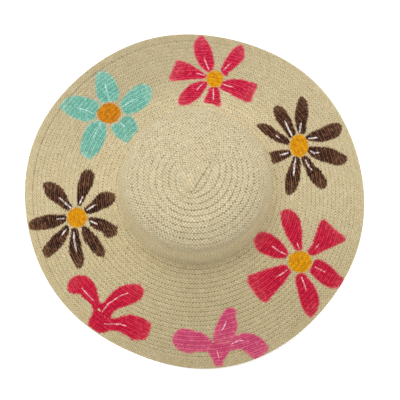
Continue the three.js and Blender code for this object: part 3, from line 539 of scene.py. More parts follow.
# outline of the folded start: (degrees, mm from the axis)
START_LINE = [
    (0.3, 9.6), (19.2, 12.9), (30.3, 17.3), (39.4, 23.9), (42.0, 24.6), (44.6, 23.9),
    (51.9, 19.1), (65.1, 13.7), (87.0, 9.4), (116.0, 7.6), (146.4, 7.5), (171.6, 8.4),
    (188.1, 10.3), (200.2, 12.6), (210.8, 15.0), (220.7, 17.6), (231.0, 19.5), (238.0, 20.4),
    (245.1, 20.8), (252.1, 20.9), (257.4, 20.8), (261.5, 20.4), (264.0, 18.6), (267.5, 16.6),
    (271.9, 14.6), (276.2, 13.1), (281.1, 11.9), (286.5, 10.8), (293.5, 9.8), (301.2, 9.1),
    (311.3, 8.5), (331.2, 8.1)]
TIP_ROWS, SIDE_ROWS, BRIM_ROWS = len(ROW_LINES) + 1, 10, 20
LAST_ROW = TIP_ROWS + SIDE_ROWS + BRIM_ROWS
TIP_LEN = 90.5                                      # profile length where the tip's rows end
HEM_START = BRIM_WIDTH - HEM_WIDTH                  # slant length where the hem begins
START_ANGLE = math.radians(262.0)
FIRST_TURN, LAST_TURN = -0.36, float(LAST_ROW)
HALF_DEGREES = 720


def around(degrees, radius, blur):
    """A closed line's distance from the axis at each half degree, blurred a little along it."""
    degrees, radius = np.array(degrees, float), np.array(radius, float)
    full = np.interp(np.arange(-180, 540, 0.5),
                     np.concatenate([degrees - 360, degrees, degrees + 360]),
                     np.concatenate([radius, radius, radius]))
    kernel = np.exp(-(np.arange(-60, 61) * 0.5 / blur) ** 2 / 2)
    return np.convolve(full, kernel / kernel.sum(), "same")[360:1080]


LINES = np.array([around(*zip(*START_LINE), 0.8)]
                 + [around(np.arange(0, 360, 15.0), radius, 4.5 if k else 3.0)
                    for k, radius in enumerate(ROW_LINES)]
                 + [np.full(HALF_DEGREES, TIP_LEN)])


def place(turn, row):
    """Angle and profile length of a row line at a turn of the spiral."""
    turn, row = np.broadcast_arrays(np.asarray(turn, float), np.asarray(row, float))
    angle = START_ANGLE + turn * 2 * math.pi
    step = (np.degrees(angle) % 360) * 2
    before = np.floor(step).astype(int) % HALF_DEGREES
    part = step - np.floor(step)
    tip_row = np.clip(row, 0, TIP_ROWS - 1e-6)
    number = tip_row.astype(int)
    between = tip_row - number

    def line(k):
        return LINES[k, before] * (1 - part) + LINES[k, (before + 1) % HALF_DEGREES] * part

    tip = line(number) * (1 - between) + line(number + 1) * between
    tip = np.maximum(tip + np.where(row < 0, row * 7.0, 0.0), 2.0)
    side = TIP_LEN + (row - TIP_ROWS) * (CROWN_LEN - TIP_LEN) / SIDE_ROWS
    brim = CROWN_LEN + (row - TIP_ROWS - SIDE_ROWS) * HEM_START / BRIM_ROWS
    return angle, np.select([row > TIP_ROWS + SIDE_ROWS, row >= TIP_ROWS], [brim, side], tip)


def row_at(turn):
    """Row line the spiral is on; in the first turns it changes rows late in the turn."""
    whole_turns = np.floor(turn)
    power = 1 + 4 * np.exp(-np.maximum(turn, 0) / 1.5)
    return whole_turns + (turn - whole_turns) ** power


def row_span(turn):
    """Inner and outer row line of the strip at a turn."""
    inner = np.where(turn < 0, -0.2, row_at(np.maximum(turn, 0)))
    lead = row_at(np.clip(turn + 1, 0, 1 - 1e-9)) + 0.15 * smooth01(-turn / 0.1)
    outer = np.where(turn < 0, lead, inner + 1)
    return inner, np.minimum(outer, LAST_ROW + 0.5)


def plait_height(along, across):
    """Height of the plait's strands, 0 to 1."""
    a, b = (along + across) / CELL, (along - across) / CELL
    bulge_a = np.sin((a - np.floor(a)) * math.pi)
    bulge_b = np.sin((b - np.floor(b)) * math.pi)
    even = (np.floor(a) + np.floor(b)) % 2 < 0.5
    over, under = np.where(even, bulge_a, bulge_b), np.where(even, bulge_b, bulge_a)
    return over ** 0.6 * (0.55 + 0.45 * under)


# ------------------------------------------------------------------ the strip's grid of points
# cross-section: (share across from inner edge to lip, depth under the top face in mm)
STRIP_THICK = 0.8
TOP_FACE = ([(-0.3, 0.0), (-0.1, 0.0)] + [(x, 0.0) for x in np.linspace(0.02, 0.93, 11)]
            + [(0.975, 0.08)])
SECTION = TOP_FACE + [(1.0, 0.32), (0.985, 0.66)] + [
    (x, STRIP_THICK) for x in (0.86, 0.66, 0.46, 0.26, 0.06, -0.28)]
SECTION_X, DEPTH = np.array(SECTION).T
TOP_POINTS, RING = len(TOP_FACE), len(SECTION)
COLUMN_STEP = 0.68                                  # along the strip, mm

# columns evenly spaced along the strip's middle
_turns = np.concatenate([np.linspace(FIRST_TURN, 3, 2600),
                         np.linspace(3, LAST_TURN, (LAST_ROW - 3) * 420)[1:]])
_inner, _outer = row_span(_turns)
_middle = surface(*place(_turns, (_inner + _outer) / 2), 0.0)
_run = running(np.linalg.norm(np.diff(_middle, axis=0), axis=1))
COLUMNS = int(_run[-1] / COLUMN_STEP)
along = np.linspace(0, _run[-1], COLUMNS)
turns = np.interp(along, _run, _turns)
inner_row, outer_row = row_span(turns)
strip_width = np.linalg.norm(surface(*place(turns, inner_row), 0.0)
                             - surface(*place(turns, outer_row), 0.0), axis=1)
strip_width = np.maximum(strip_width, 0.8)

share = np.broadcast_to(SECTION_X, (COLUMNS, RING)).copy()
# loops of the plait's edge
lip_loops = 0.035 * np.cos(along * 2 * math.pi / CELL) + 0.02 * wobble(along, 3, 9.0)
share = share + np.where(SECTION_X > 0.9, 1.0, 0.0) * lip_loops[:, None]
rows = inner_row[:, None] + share * (outer_row - inner_row)[:, None]
rows = np.where(turns[:, None] < 0, np.maximum(rows, -0.4), rows)
strip_angle, strip_len = place(turns[:, None], rows)
across_mm = share * strip_width[:, None]
along_mm = np.broadcast_to(along[:, None], (COLUMNS, RING))
relief = plait_height(along_mm, across_mm)
middle_row = (inner_row + outer_row) / 2
angle_on = START_ANGLE + turns * 2 * math.pi


def by_row(at, values):
    return np.interp(middle_row, at, values)


# height of each row's step; on the crown's tip it is greatest towards the front
rise = by_row([0, 11, 13, 21, 23, 42], [0.92, 0.92, 0.75, 0.6, 0.45, 0.45])
rise = (rise * by_row([0, 12, 20, 42], [1, 1, 0, 0])
        * (0.62 + 0.38 * np.cos(angle_on - math.radians(-70)))
        + rise * by_row([0, 12, 20, 42], [0, 0, 1, 1]))
within = np.clip(share, 0, 1)
base = -0.12 - rise[:, None] * (1 - within) + np.where(share < 0, share * 1.0, 0.0)
fade = np.clip(1 - np.abs(2 * within - 1) ** 6, 0.3, 1)
on_brim = smooth01((middle_row - 19.0) / 4.0)[:, None]
top = (base + (relief - 0.55) * (0.50 - 0.14 * on_brim) * fade
       + (0.09 + 0.03 * on_brim) * np.cos(across_mm * 2 * math.pi / RIB) * fade
       + 0.05 * wobble(along, 11, 17.0)[:, None])
under = base - 0.80 - (relief - 0.55) * 0.24
strip_out = np.where(DEPTH == STRIP_THICK, under, top - DEPTH)
strip_points = surface(strip_angle, strip_len, strip_out)
# painted shade in the seams, stronger in front, and on the side of each row's lip
near = (by_row([0, 12, 16, 42], [1, 1, 0.5, 0.5])
        * (0.5 + 0.5 * np.cos(angle_on - math.radians(-70))))
front = 0.5 + 0.5 * np.cos(angle_on - math.radians(-75))
near = np.where(middle_row > 16, 0.62 + 0.38 * front, near)
cavity = np.clip(1 - share / 0.09, 0, 1) * (share > -0.2) * near[:, None]
cavity = np.where(np.arange(RING)[None, :] >= TOP_POINTS,
                  0.5 * (DEPTH[None] > 0.2) * (DEPTH[None] < STRIP_THICK), cavity)
strip_mm = strip_coords(along_mm, across_mm)

# painted light and shade on the straw round the brim: a little darker behind and in front
PAINTED_LIGHT_DEGREES = np.array([0, 52, 90, 127, 180, 233, 270, 308, 360.0])
PAINTED_LIGHT_LEVELS = np.array([1.04, 0.985, 0.86, 0.845, 1.05, 0.955, 0.82, 0.87, 1.04])


def shade(angle, length):
    """The straw's painted light and shade, and its "warm" tint, as attributes at an angle and
    profile length.
    """
    down = smooth01((length - SHOULDER_LEN - 20.0) / 50.0)
    painted_light = 1 + (np.interp(np.degrees(angle) % 360, PAINTED_LIGHT_DEGREES, PAINTED_LIGHT_LEVELS) - 1) * down
    # painted light on the inner brim behind the crown
    lift = (np.maximum(np.cos(angle - math.radians(103.0)), 0.0) ** 1.3
            * smooth01((length - CROWN_LEN + 12.0) / 10.0)
            * (1 - smooth01((length - CROWN_LEN - 6.0) / 54.0)))
    painted_light = painted_light * (1 + 0.24 * lift)
    # painted shade on the front of the crown round the tip's edge
    facing = np.maximum(np.cos(angle - math.radians(288.0)), 0.0)
    painted_light = painted_light * (1 - 0.12 * facing * smooth01((length - 54.0) / 14.0)
                   * (1 - smooth01((length - 96.0) / 12.0)))
    # the "warm" tint grows towards the front, the yellower colour of the painted shade there, and is
    # less where the painted light lifts the inner brim
    warm = (0.68 + 0.32 * smooth01(-np.sin(angle) * 1.6)) * (1 - 0.35 * lift)
    return {"painted_light": painted_light, "warm": 0.10 + (warm - 0.10) * smooth01((length - 74.0) / 34.0)}


STRAW = straw_material("straw_plait")


def add_strip():
    """The strip, cut into pieces that share their end columns."""
    tip_end = int(np.searchsorted(turns, 8.0))
    side_end = int(np.searchsorted(turns, 21.6))
    # (first column, end column, number of pieces, name, slot, node)
    for first, end, count, name, slot, node in (
            (0, tip_end, 1, "crown_tip_strip", "straw_tip", "crown_tip_braid"),
            (tip_end, side_end, 3, "crown_side_strip", "straw", "crown_side_braid"),
            (side_end, COLUMNS, 8, "brim_strip", "straw", "brim_braid")):
        for k in range(count):
            a = first + (end - first) * k // count
            b = min(first + (end - first) * (k + 1) // count + 1, COLUMNS)
            add_sweep(name if count == 1 else f"{name}_{k + 1}", to_scene(strip_points[a:b]),
                      STRAW, node, strip_mm[a:b], bands=16,
                      attributes={"cav": cavity[a:b], **shade(strip_angle[a:b], strip_len[a:b])})


add_strip()


# ------------------------------------------------------------------ the strip's folded start
def polar(degrees, radius):
    angle = np.radians(degrees)
    return np.stack([radius * np.cos(angle), radius * np.sin(angle)], -1)


def add_start_fold():
    """The strip's start, folded under itself at the crown's centre."""
    stations, points = 110, 25
    tip, low = polar(42, 24.9), polar(264, 18.9)
    t = np.linspace(0, 1, stations)
    kernel = np.exp(-(np.arange(-6, 7) / 3.0) ** 2)
    kernel /= kernel.sum()

    def side(outline):
        line = np.concatenate([[tip], polar(*outline.T), [low]])
        run = path_length(line)
        at = np.stack([np.interp(t * run[-1], run, line[:, k]) for k in range(2)], -1)
        at[6:-6] = np.stack([np.convolve(at[:, k], kernel, "valid") for k in range(2)], -1)
        return at

    outline = np.array(START_LINE)
    degrees = outline[:, 0]
    left = side(outline[(degrees > 44.0) & (degrees < 262.0)])
    right = outline[(degrees < 42.0) | (degrees > 264.0)]
    right = side(right[np.argsort(-((right[:, 0] + 96.0) % 360))])
    v = np.linspace(0, 1, points)
    plan = right[:, None] * (1 - v[None, :, None]) + left[:, None] * v[None, :, None]
    across = np.hypot(*(left - right).T)[:, None] * v[None]
    # this plait's pattern starts 400 mm along
    along = np.broadcast_to((t * np.hypot(*(low - tip)))[:, None], (stations, points)) + 400.0
    second_row = smooth01((across - 6.3) / 0.7)
    relief = plait_height(along, np.where(across > 6.6, across - 6.6, across + 0.3))
    edge = np.abs(2 * v[None] - 1) ** 9 * np.ones((stations, 1))
    ends = (np.abs(2 * t - 1) ** 24)[:, None] * np.ones((1, points))
    top = (0.22 - 0.36 * np.maximum(edge, ends) - 0.42 * second_row
           + (relief - 0.55) * 0.30 * (1 - 0.6 * edge) - 0.25 * smooth01((v[None] - 0.8) / 0.2))
    groove = np.exp(-((across - 6.75) / 0.35) ** 2)
    low_end = smooth01((t - 0.55) / 0.3)[:, None]
    angle = np.arctan2(plan[..., 1], plan[..., 0])
    length = np.hypot(plan[..., 0], plan[..., 1])
    rings = surface(there_and_back(angle, angle), there_and_back(length, length),
                    there_and_back(top, np.full_like(top, -0.75)))
    # painted shade round the fold's edges, strongest at its lower end, and in the groove beside its
    # second row
    dark = np.maximum(edge * (0.3 + 0.45 * low_end), ends * low_end * 0.7)
    dark = np.maximum(dark, groove * 0.6)
    size = stations * 2 * points
    add_sweep("crown_tip_fold", to_scene(rings), STRAW, "crown_tip_braid",
              strip_coords(there_and_back(along, along), there_and_back(across, across)), bands=3,
              attributes={"cav": there_and_back(dark, edge * 0.5), "painted_light": np.ones(size),
                          "warm": np.full(size, 0.15)}, reverse=True)


add_start_fold()

# ------------------------------------------------------------------ the folded hem round the brim
HEM_COLUMNS = 1960
HEM_TURN = 2.2                                      # radius of the rounded outer edge
HEM_TOP_POINTS, HEM_TURN_POINTS = 17, 7
HEM_FLAT = HEM_WIDTH - HEM_TURN
HEM_RIDGE = 5.4                                     # the line along the middle of both faces


def hem_section():
    """(mm from the hem's inner line, height, face): face 1 outer, -1 under, 0 inside."""
    section = [(x, 0.06 - 0.62 * max(0.0, 1 - (x + 0.55) / 0.9) ** 2
                - 0.12 * math.exp(-((x - HEM_RIDGE) / 0.35) ** 2), 1)
               for x in np.linspace(-0.55, HEM_FLAT, HEM_TOP_POINTS)]
    for k in range(1, HEM_TURN_POINTS + 1):
        a = math.pi * k / (HEM_TURN_POINTS + 1)
        section.append((HEM_FLAT + HEM_TURN * math.sin(a), 0.12 - HEM_TURN * (1 - math.cos(a)), 1))
    section += [(x, -4.28 + 0.2 * math.exp(-((x - HEM_RIDGE) / 0.45) ** 2), -1)
                for x in np.linspace(HEM_FLAT, 0.1, 13)]
    section += [(0.1, -3.5, 0), (HEM_WIDTH - 3.4, -3.45, 0), (HEM_WIDTH - 2.9, -2.2, 0),
                (HEM_WIDTH - 3.4, -1.0, 0), (-0.35, -0.72, 0)]
    return np.array(section)


section = hem_section()
hem_x, hem_z, face = section.T
HEM_RING = len(section)
hem_across = path_length(section[:, :2]) + 0.2
hem_turn = np.linspace(0, 2 * math.pi, HEM_COLUMNS, endpoint=False)
# length along the hem, stretched to a whole number of cells
hem_along = hem_turn * (HEM_START + 96.0)
hem_along = hem_along * (round(hem_along[-1] / CELL) * CELL
                         / (hem_along[-1] * HEM_COLUMNS / (HEM_COLUMNS - 1)))
bumps = (plait_height(hem_along[:, None], hem_across[None, :]) - 0.55) * 0.46
rounded_edge = ((hem_x > HEM_FLAT) & (face == 1))[None]
flat_top = (face == 1)[None] & ~rounded_edge
hem_len = CROWN_LEN + HEM_START + np.broadcast_to(hem_x[None], (HEM_COLUMNS, HEM_RING)).copy()
hem_len[:, 0] += 0.22 * np.cos(hem_along * 2 * math.pi / CELL)
hem_len = hem_len + np.where(rounded_edge, bumps * 0.8, 0.0)
outward = np.where(face[None] == 1, bumps, np.where(face[None] == -1, -bumps, 0.0))
hem_out = hem_z[None] + np.where(rounded_edge, 0.0, outward)
hem_out = hem_out + 0.06 * wobble(np.sin(hem_turn) * 300, 5, 40.0)[:, None] * (face[None] != 0)
hem_angle = np.broadcast_to(hem_turn[:, None], (HEM_COLUMNS, HEM_RING))
hem_points = surface(hem_angle, hem_len, hem_out)
# painted shade in the groove along the hem's ridge, on both faces, and under its inner edge
hem_cavity = (np.exp(-((hem_x - HEM_RIDGE) / 0.45) ** 2) * 0.2 * (np.abs(face) == 1)
              + (hem_x < -0.3) * 0.1)
hem_cavity = np.broadcast_to(np.clip(hem_cavity, 0, 1)[None], (HEM_COLUMNS, HEM_RING))
hem_mm = strip_coords(hem_along[:, None] + 40000.0, hem_across[None])
add_mesh("brim_edge_fold", to_scene(hem_points).reshape(-1, 3),
         sweep_quads(HEM_COLUMNS, HEM_RING, closed=True),
         straw_material("straw_hem_plait", tint=(0.985, 0.98, 0.96)),
         "brim_edge_hem", {"cav": hem_cavity, **shade(hem_angle, hem_len)}, hem_mm,
         strip_uv(HEM_COLUMNS + 1, HEM_RING, 8))


# ------------------------------------------------------------------ painted shapes
def read_shapes(text):
    """{part: (outline, pale stroke)} from entries "part | x,y ... | x,y ..." parted by ";"."""
    shapes = {}
    for entry in text.split(";"):
        part, *lines = entry.split("|")
        shapes[part.strip()] = [
            np.array([[float(n) for n in pair.split(",")] for pair in line.split()])
            for line in lines]
    return shapes


# outline and pale stroke of each part in plan, mm
FLOWERS = {flower: read_shapes(text) for flower, text in {
    "turquoise": """
petal_1 | -127.1,152.3 -125.9,140.0 -124.6,127.9 -120.9,119.2 -116.5,113.5 -106.3,114.8 -98.7,114.9
-95.4,120.7 -95.7,127.9 -98.8,138.9 -103.6,147.9 -109.5,154.7 -116.2,159.3 -121.5,159.8
-125.7,156.9 | -114.0,140.4 -110.8,128.6 -107.7,117.0;
petal_2 | -92.6,113.5 -87.6,121.5 -80.5,129.3 -72.3,136.0 -65.0,137.3 -57.5,134.1 -53.8,126.7
-54.5,117.3 -58.0,109.3 -64.0,102.6 -71.1,98.3 -79.4,95.6 -86.6,96.3 -90.0,101.8 -92.3,107.8
| -89.5,105.9 -80.9,112.3 -69.9,118.7;
petal_3 | -88.6,92.5 -81.3,93.6 -76.1,89.6 -71.7,82.6 -69.5,76.2 -75.4,66.2 -81.4,57.8 -88.6,60.4
-96.0,66.2 -101.5,74.4 -103.3,81.2 -97.7,83.5 -92.6,86.5 | -93.1,85.6 -86.0,78.5;
petal_4 | -122.1,89.3 -116.9,88.9 -111.3,83.9 -108.9,77.0 -109.6,66.0 -112.4,57.4 -116.3,49.1
-122.4,44.1 -126.8,39.1 -132.7,41.1 -138.9,46.4 -141.3,54.2 -141.2,62.8 -138.4,72.6 -133.5,81.2
-128.4,87.5 | -116.5,85.9 -120.5,76.8 -125.8,66.5;
petal_5 | -120.0,107.5 -123.4,115.9 -132.3,120.8 -143.4,125.4 -153.4,127.1 -161.0,125.4
-167.3,120.0 -171.2,112.9 -166.4,107.1 -157.1,99.2 -148.0,93.7 -139.3,90.1 -133.8,89.0 -128.6,90.9
-124.0,94.0 -123.1,99.7 | -148.6,109.3 -136.6,105.4 -126.0,98.9;
disc | -92.5,97.7 -93.4,92.5 -96.4,88.3 -101.0,85.7 -106.6,85.0 -112.2,86.5 -117.1,89.8 -120.6,94.5
-122.0,99.9 -121.1,105.1 -118.1,109.4 -113.4,112.0 -107.7,112.6 -102.0,111.1 -97.1,107.8
-93.8,103.0 |""",
    "crimson": """
petal_1 | 6.5,211.0 0.6,203.8 -2.0,194.2 -1.5,183.4 1.7,171.6 6.9,161.3 13.7,153.8 18.4,153.4
22.1,157.8 23.8,165.5 22.8,177.2 20.9,187.9 17.8,197.3 14.1,204.2 10.3,209.6
| 11.0,174.9 13.5,167.1 17.2,156.4;
petal_2 | 57.6,197.9 61.8,195.3 63.2,187.2 62.4,177.7 56.7,168.2 49.0,160.1 42.6,153.4 38.1,147.5
34.6,150.6 32.0,156.2 34.3,164.6 39.9,176.6 45.4,186.2 51.0,193.4
| 34.8,155.4 40.0,162.5 43.9,167.3;
petal_3 | 33.9,139.4 41.2,142.7 55.9,144.0 68.5,140.9 77.2,138.3 75.4,129.2 71.9,120.6 68.5,111.7
62.3,111.8 52.1,116.1 41.9,122.8 31.6,128.4 30.6,132.0 | 34.4,136.0 40.6,133.3 46.8,132.1;
petal_4 | 18.2,131.1 27.5,131.3 30.0,124.7 30.9,115.4 31.2,104.9 27.2,104.1 19.0,106.9 10.4,109.1
10.9,113.8 15.0,122.2 | 22.3,129.9 22.4,122.7 22.1,112.8;
petal_5 | 14.1,138.9 15.1,134.1 11.0,125.7 5.7,117.2 -0.4,111.5 -7.5,106.7 -19.8,105.8 -21.5,111.6
-19.9,117.4 -13.8,126.8 -5.7,135.2 3.7,138.8 | 10.8,137.0 5.8,132.6 2.0,126.8;
petal_6 | 14.2,148.9 13.0,143.9 5.8,142.5 -4.6,141.9 -16.0,140.2 -31.6,141.0 -32.2,146.5
-29.7,153.9 -26.7,162.7 -23.6,170.9 -19.4,170.3 -8.9,166.4 1.7,158.8 10.0,152.5
| 2.1,151.0 12.1,148.1;
disc | 34.7,143.7 33.8,139.0 31.5,135.1 28.1,132.4 24.1,131.4 20.2,132.2 16.9,134.7 14.7,138.6
13.9,143.2 14.7,147.9 17.0,151.9 20.4,154.7 24.4,155.7 28.4,154.9 31.8,152.3 34.0,148.3 |""",
    "brown_right": """
petal_1 | 134.2,124.8 131.0,122.6 127.7,114.5 124.8,104.0 123.5,91.4 124.9,81.6 127.3,73.2
133.2,72.7 136.3,75.3 138.0,86.7 141.1,99.4 141.6,108.3 140.3,118.4 137.6,123.9
| 131.1,87.3 128.5,74.9;
petal_2 | 185.5,89.9 183.1,80.7 178.8,74.0 170.0,69.2 157.6,64.7 146.7,64.1 138.6,65.2 135.3,68.0
138.9,71.9 146.4,77.5 156.2,82.4 165.0,88.3 175.0,92.1 181.3,93.0 | 140.4,67.4 150.9,69.8;
petal_3 | 138.1,55.0 137.9,49.0 143.6,43.6 152.7,39.7 164.5,37.3 177.7,35.7 185.2,39.0 189.2,43.0
188.4,49.6 179.9,53.3 171.6,56.7 163.2,58.0 151.2,57.4 | 141.6,51.0 146.0,48.8 152.5,50.1;
petal_4 | 129.5,41.3 135.4,44.1 141.1,39.9 145.3,33.2 153.4,26.9 157.7,20.4 161.8,13.7 160.4,8.0
156.1,3.7 149.0,5.3 142.3,11.1 136.7,19.8 132.4,29.9 | 134.6,38.7 138.8,30.1 142.5,26.6;
petal_5 | 119.7,41.7 126.0,42.7 127.6,37.5 127.9,29.5 126.9,18.0 124.9,8.7 121.3,0.7 116.7,-4.6
112.1,-6.6 108.3,-3.4 107.9,5.5 109.3,16.9 112.9,26.2 116.7,34.5
| 122.0,40.3 119.6,24.9 118.8,18.6;
petal_6 | 89.7,44.4 93.3,46.4 100.0,48.5 109.2,50.1 115.4,50.2 117.4,47.3 116.5,43.1 108.8,38.1
101.8,34.1 95.0,31.5 92.9,33.0 91.3,38.8 | 102.7,42.9 112.8,46.1;
petal_7 | 75.1,80.5 79.1,82.6 86.4,82.5 93.2,79.2 99.8,74.7 107.6,69.3 114.2,65.0 116.5,62.1
113.9,57.2 108.2,57.5 99.3,59.7 90.4,65.1 82.7,70.0 77.2,75.8 | 98.5,68.0 102.8,64.7;
petal_8 | 100.6,108.3 96.9,104.3 97.1,96.8 100.3,88.2 105.8,80.1 111.1,71.9 116.7,66.0 121.2,68.2
123.3,71.8 121.3,82.5 117.8,92.1 113.5,100.4 109.2,107.0 104.5,107.9
| 110.6,88.3 115.2,76.5 118.7,68.8;
disc | 138.9,57.7 137.8,52.0 135.0,47.0 131.1,43.6 126.6,42.1 122.3,42.9 118.6,45.7 116.3,50.3
115.7,55.8 116.7,61.5 119.4,66.5 123.4,70.0 127.9,71.5 132.3,70.8 136.0,67.9 138.3,63.3 |""",
    "brown_left": """
petal_1 | -131.5,26.3 -136.1,24.8 -139.8,19.3 -142.5,10.5 -144.0,0.4 -144.2,-9.6 -141.7,-17.7
-138.3,-17.9 -135.0,-12.5 -130.6,-4.9 -126.2,2.6 -122.6,11.4 -122.1,18.1 -125.7,24.1
| -136.5,-7.6 -140.1,-15.9;
petal_2 | -131.2,-28.1 -134.8,-24.6 -132.5,-20.4 -125.8,-15.2 -120.2,-8.9 -114.7,-4.2 -105.7,-3.0
-99.0,-5.0 -95.1,-9.0 -97.3,-15.5 -103.3,-20.8 -112.1,-24.1 -119.9,-27.1
| -120.6,-18.3 -130.5,-23.8;
petal_3 | -128.9,-33.8 -119.8,-33.6 -112.0,-35.1 -105.2,-38.1 -99.6,-42.0 -94.0,-45.1 -92.8,-50.4
-95.0,-55.8 -101.7,-57.7 -107.2,-56.9 -110.7,-51.4 -117.4,-48.4 -124.2,-44.3 -129.4,-39.1
| -126.6,-37.2 -117.8,-41.2;
petal_4 | -136.8,-44.2 -134.5,-42.2 -127.7,-46.7 -120.8,-53.6 -113.9,-61.4 -109.5,-69.1
-107.7,-75.5 -109.4,-80.3 -117.2,-78.5 -124.0,-72.8 -129.7,-65.0 -134.4,-57.3 | ;
petal_5 | -148.8,-44.7 -141.9,-45.5 -139.6,-53.9 -137.7,-63.6 -135.4,-74.4 -133.8,-81.9
-136.0,-90.5 -139.6,-92.9 -145.9,-89.0 -149.8,-81.2 -152.9,-71.5 -152.2,-60.7 -150.5,-52.1
| -146.6,-49.3 -146.5,-58.9 -143.3,-72.1;
petal_6 | -157.6,-40.9 -151.8,-42.3 -152.4,-46.6 -155.1,-54.1 -158.7,-61.4 -165.8,-68.5
-174.1,-74.6 -181.3,-78.0 -186.3,-75.0 -187.4,-67.2 -181.3,-60.0 -174.1,-52.9 -165.9,-46.9
| -156.2,-45.2 -162.0,-52.0;
petal_7 | -157.8,-28.2 -156.5,-34.3 -162.4,-38.8 -171.8,-42.6 -183.7,-44.0 -196.0,-43.7
-204.7,-41.3 -206.6,-35.6 -199.9,-30.0 -190.1,-27.6 -178.0,-26.2 -167.2,-27.6
| -168.7,-32.3 -159.6,-32.3;
petal_8 | -182.6,14.6 -187.4,12.7 -186.7,5.9 -183.3,-2.4 -177.2,-8.5 -169.9,-13.5 -162.7,-18.5
-155.5,-22.9 -151.8,-22.0 -149.6,-19.4 -153.6,-11.3 -158.4,-2.0 -164.5,6.3 -173.1,12.1
| -165.3,-6.9 -158.7,-13.5 -150.9,-20.1;
disc | -130.7,-33.1 -131.6,-37.5 -134.2,-41.1 -138.1,-43.4 -142.8,-44.0 -147.6,-42.9 -151.6,-40.1
-154.4,-36.2 -155.4,-31.6 -154.5,-27.2 -151.9,-23.5 -147.9,-21.2 -143.2,-20.6 -138.5,-21.8
-134.5,-24.6 -131.7,-28.5 |""",
    "red": """
petal_1 | 108.4,-23.7 102.9,-26.8 101.7,-33.4 103.2,-41.9 106.4,-50.5 111.3,-59.9 117.0,-68.3
121.4,-72.7 127.7,-71.0 128.3,-60.4 127.8,-49.6 126.8,-39.9 124.0,-32.3 118.4,-26.6 112.9,-24.1
| 121.7,-63.6 124.2,-69.4;
petal_2 | 156.1,-33.7 167.9,-42.9 184.0,-54.5 183.4,-57.3 170.1,-64.6 155.8,-71.3 140.5,-77.7
135.3,-74.6 140.9,-63.9 146.7,-48.6 151.6,-36.3 | 149.4,-63.5 144.3,-69.7;
petal_3 | 139.7,-90.8 143.1,-83.3 150.1,-81.8 158.4,-85.1 166.8,-90.6 174.1,-96.8 181.6,-102.8
181.9,-106.9 176.9,-112.7 168.6,-114.7 160.1,-113.4 150.4,-108.0 142.2,-101.4 137.6,-95.8
| 144.4,-90.8 152.1,-94.0 157.3,-96.1;
petal_4 | 123.8,-99.8 130.5,-98.7 136.4,-104.8 142.4,-110.9 147.2,-119.3 150.2,-127.7 149.9,-136.3
146.6,-143.9 140.9,-150.0 134.9,-147.4 129.0,-139.0 125.3,-129.5 122.9,-120.1 120.0,-109.6
120.4,-104.3 | 127.4,-103.2 130.0,-109.0 133.3,-118.2;
petal_5 | 111.4,-93.1 114.3,-97.4 109.2,-105.7 101.5,-115.4 93.6,-123.9 83.9,-133.7 79.5,-132.7
73.9,-127.5 67.4,-120.3 61.4,-109.9 62.9,-103.5 70.6,-100.3 82.6,-95.8 94.7,-92.3 105.7,-89.4
| 109.4,-95.6 103.2,-100.5 95.9,-104.1;
petal_6 | 110.6,-76.0 108.0,-81.4 101.4,-82.6 92.5,-81.8 83.7,-78.9 74.9,-74.9 70.6,-68.8
69.2,-60.4 74.2,-53.6 83.2,-51.8 91.5,-55.3 99.1,-60.3 105.7,-66.6
| 91.0,-68.2 98.3,-73.3 109.3,-78.2;
disc | 140.3,-84.9 139.2,-89.7 136.0,-93.9 131.2,-96.8 125.5,-97.9 119.9,-97.2 115.1,-94.6
111.9,-90.7 110.8,-86.0 111.9,-81.3 115.1,-77.1 119.8,-74.3 125.4,-73.1 131.1,-73.8 135.9,-76.3
139.1,-80.2 |""",
    "red_sprig": """
leaf_1 | -123.4,-137.2 -130.2,-131.8 -136.4,-126.3 -139.5,-122.9 -145.9,-122.2 -152.3,-120.9
-155.4,-116.5 -154.7,-110.6 -151.9,-105.8 -145.4,-101.7 -138.0,-100.5 -130.6,-102.3 -124.4,-106.8
-120.3,-112.7 -117.9,-120.6 -115.9,-128.3 -115.0,-136.7 -119.1,-138.8
| -136.7,-115.7 -130.6,-122.9 -122.0,-131.2;
leaf_2 | -113.9,-136.8 -109.3,-132.3 -103.0,-125.7 -96.8,-120.0 -89.6,-115.5 -81.5,-113.2
-73.5,-112.9 -65.5,-113.9 -61.0,-119.7 -62.6,-126.4 -65.7,-130.7 -73.8,-134.8 -81.8,-137.6
-90.0,-140.3 -96.2,-143.1 -100.4,-147.9 -103.9,-151.3 -111.1,-144.8
| -112.4,-144.2 -104.7,-135.1 -97.2,-130.6 -89.8,-126.2 -80.0,-122.9;
leaf_3 | -102.7,-153.2 -94.4,-151.3 -86.2,-149.0 -76.0,-148.2 -66.9,-150.3 -59.0,-153.7
-53.5,-158.0 -53.2,-163.8 -56.3,-170.6 -60.4,-176.4 -68.6,-177.2 -75.8,-176.7 -81.8,-172.2
-87.8,-168.3 -94.9,-166.9 -103.2,-165.7 -110.6,-167.1 -111.0,-159.3 -108.4,-154.0
| -110.4,-158.2 -100.4,-158.3 -90.5,-158.4 -83.2,-160.8;
stem | -130.5,-159.2 -128.9,-153.2 -124.9,-147.4 -123.2,-141.7 -123.1,-138.5 -119.1,-140.1
-114.4,-138.1 -112.2,-145.6 -107.0,-150.8 -109.7,-153.8 -112.2,-159.3 -112.1,-167.4 -117.2,-168.6
-122.2,-165.7 -127.1,-162.6 |""",
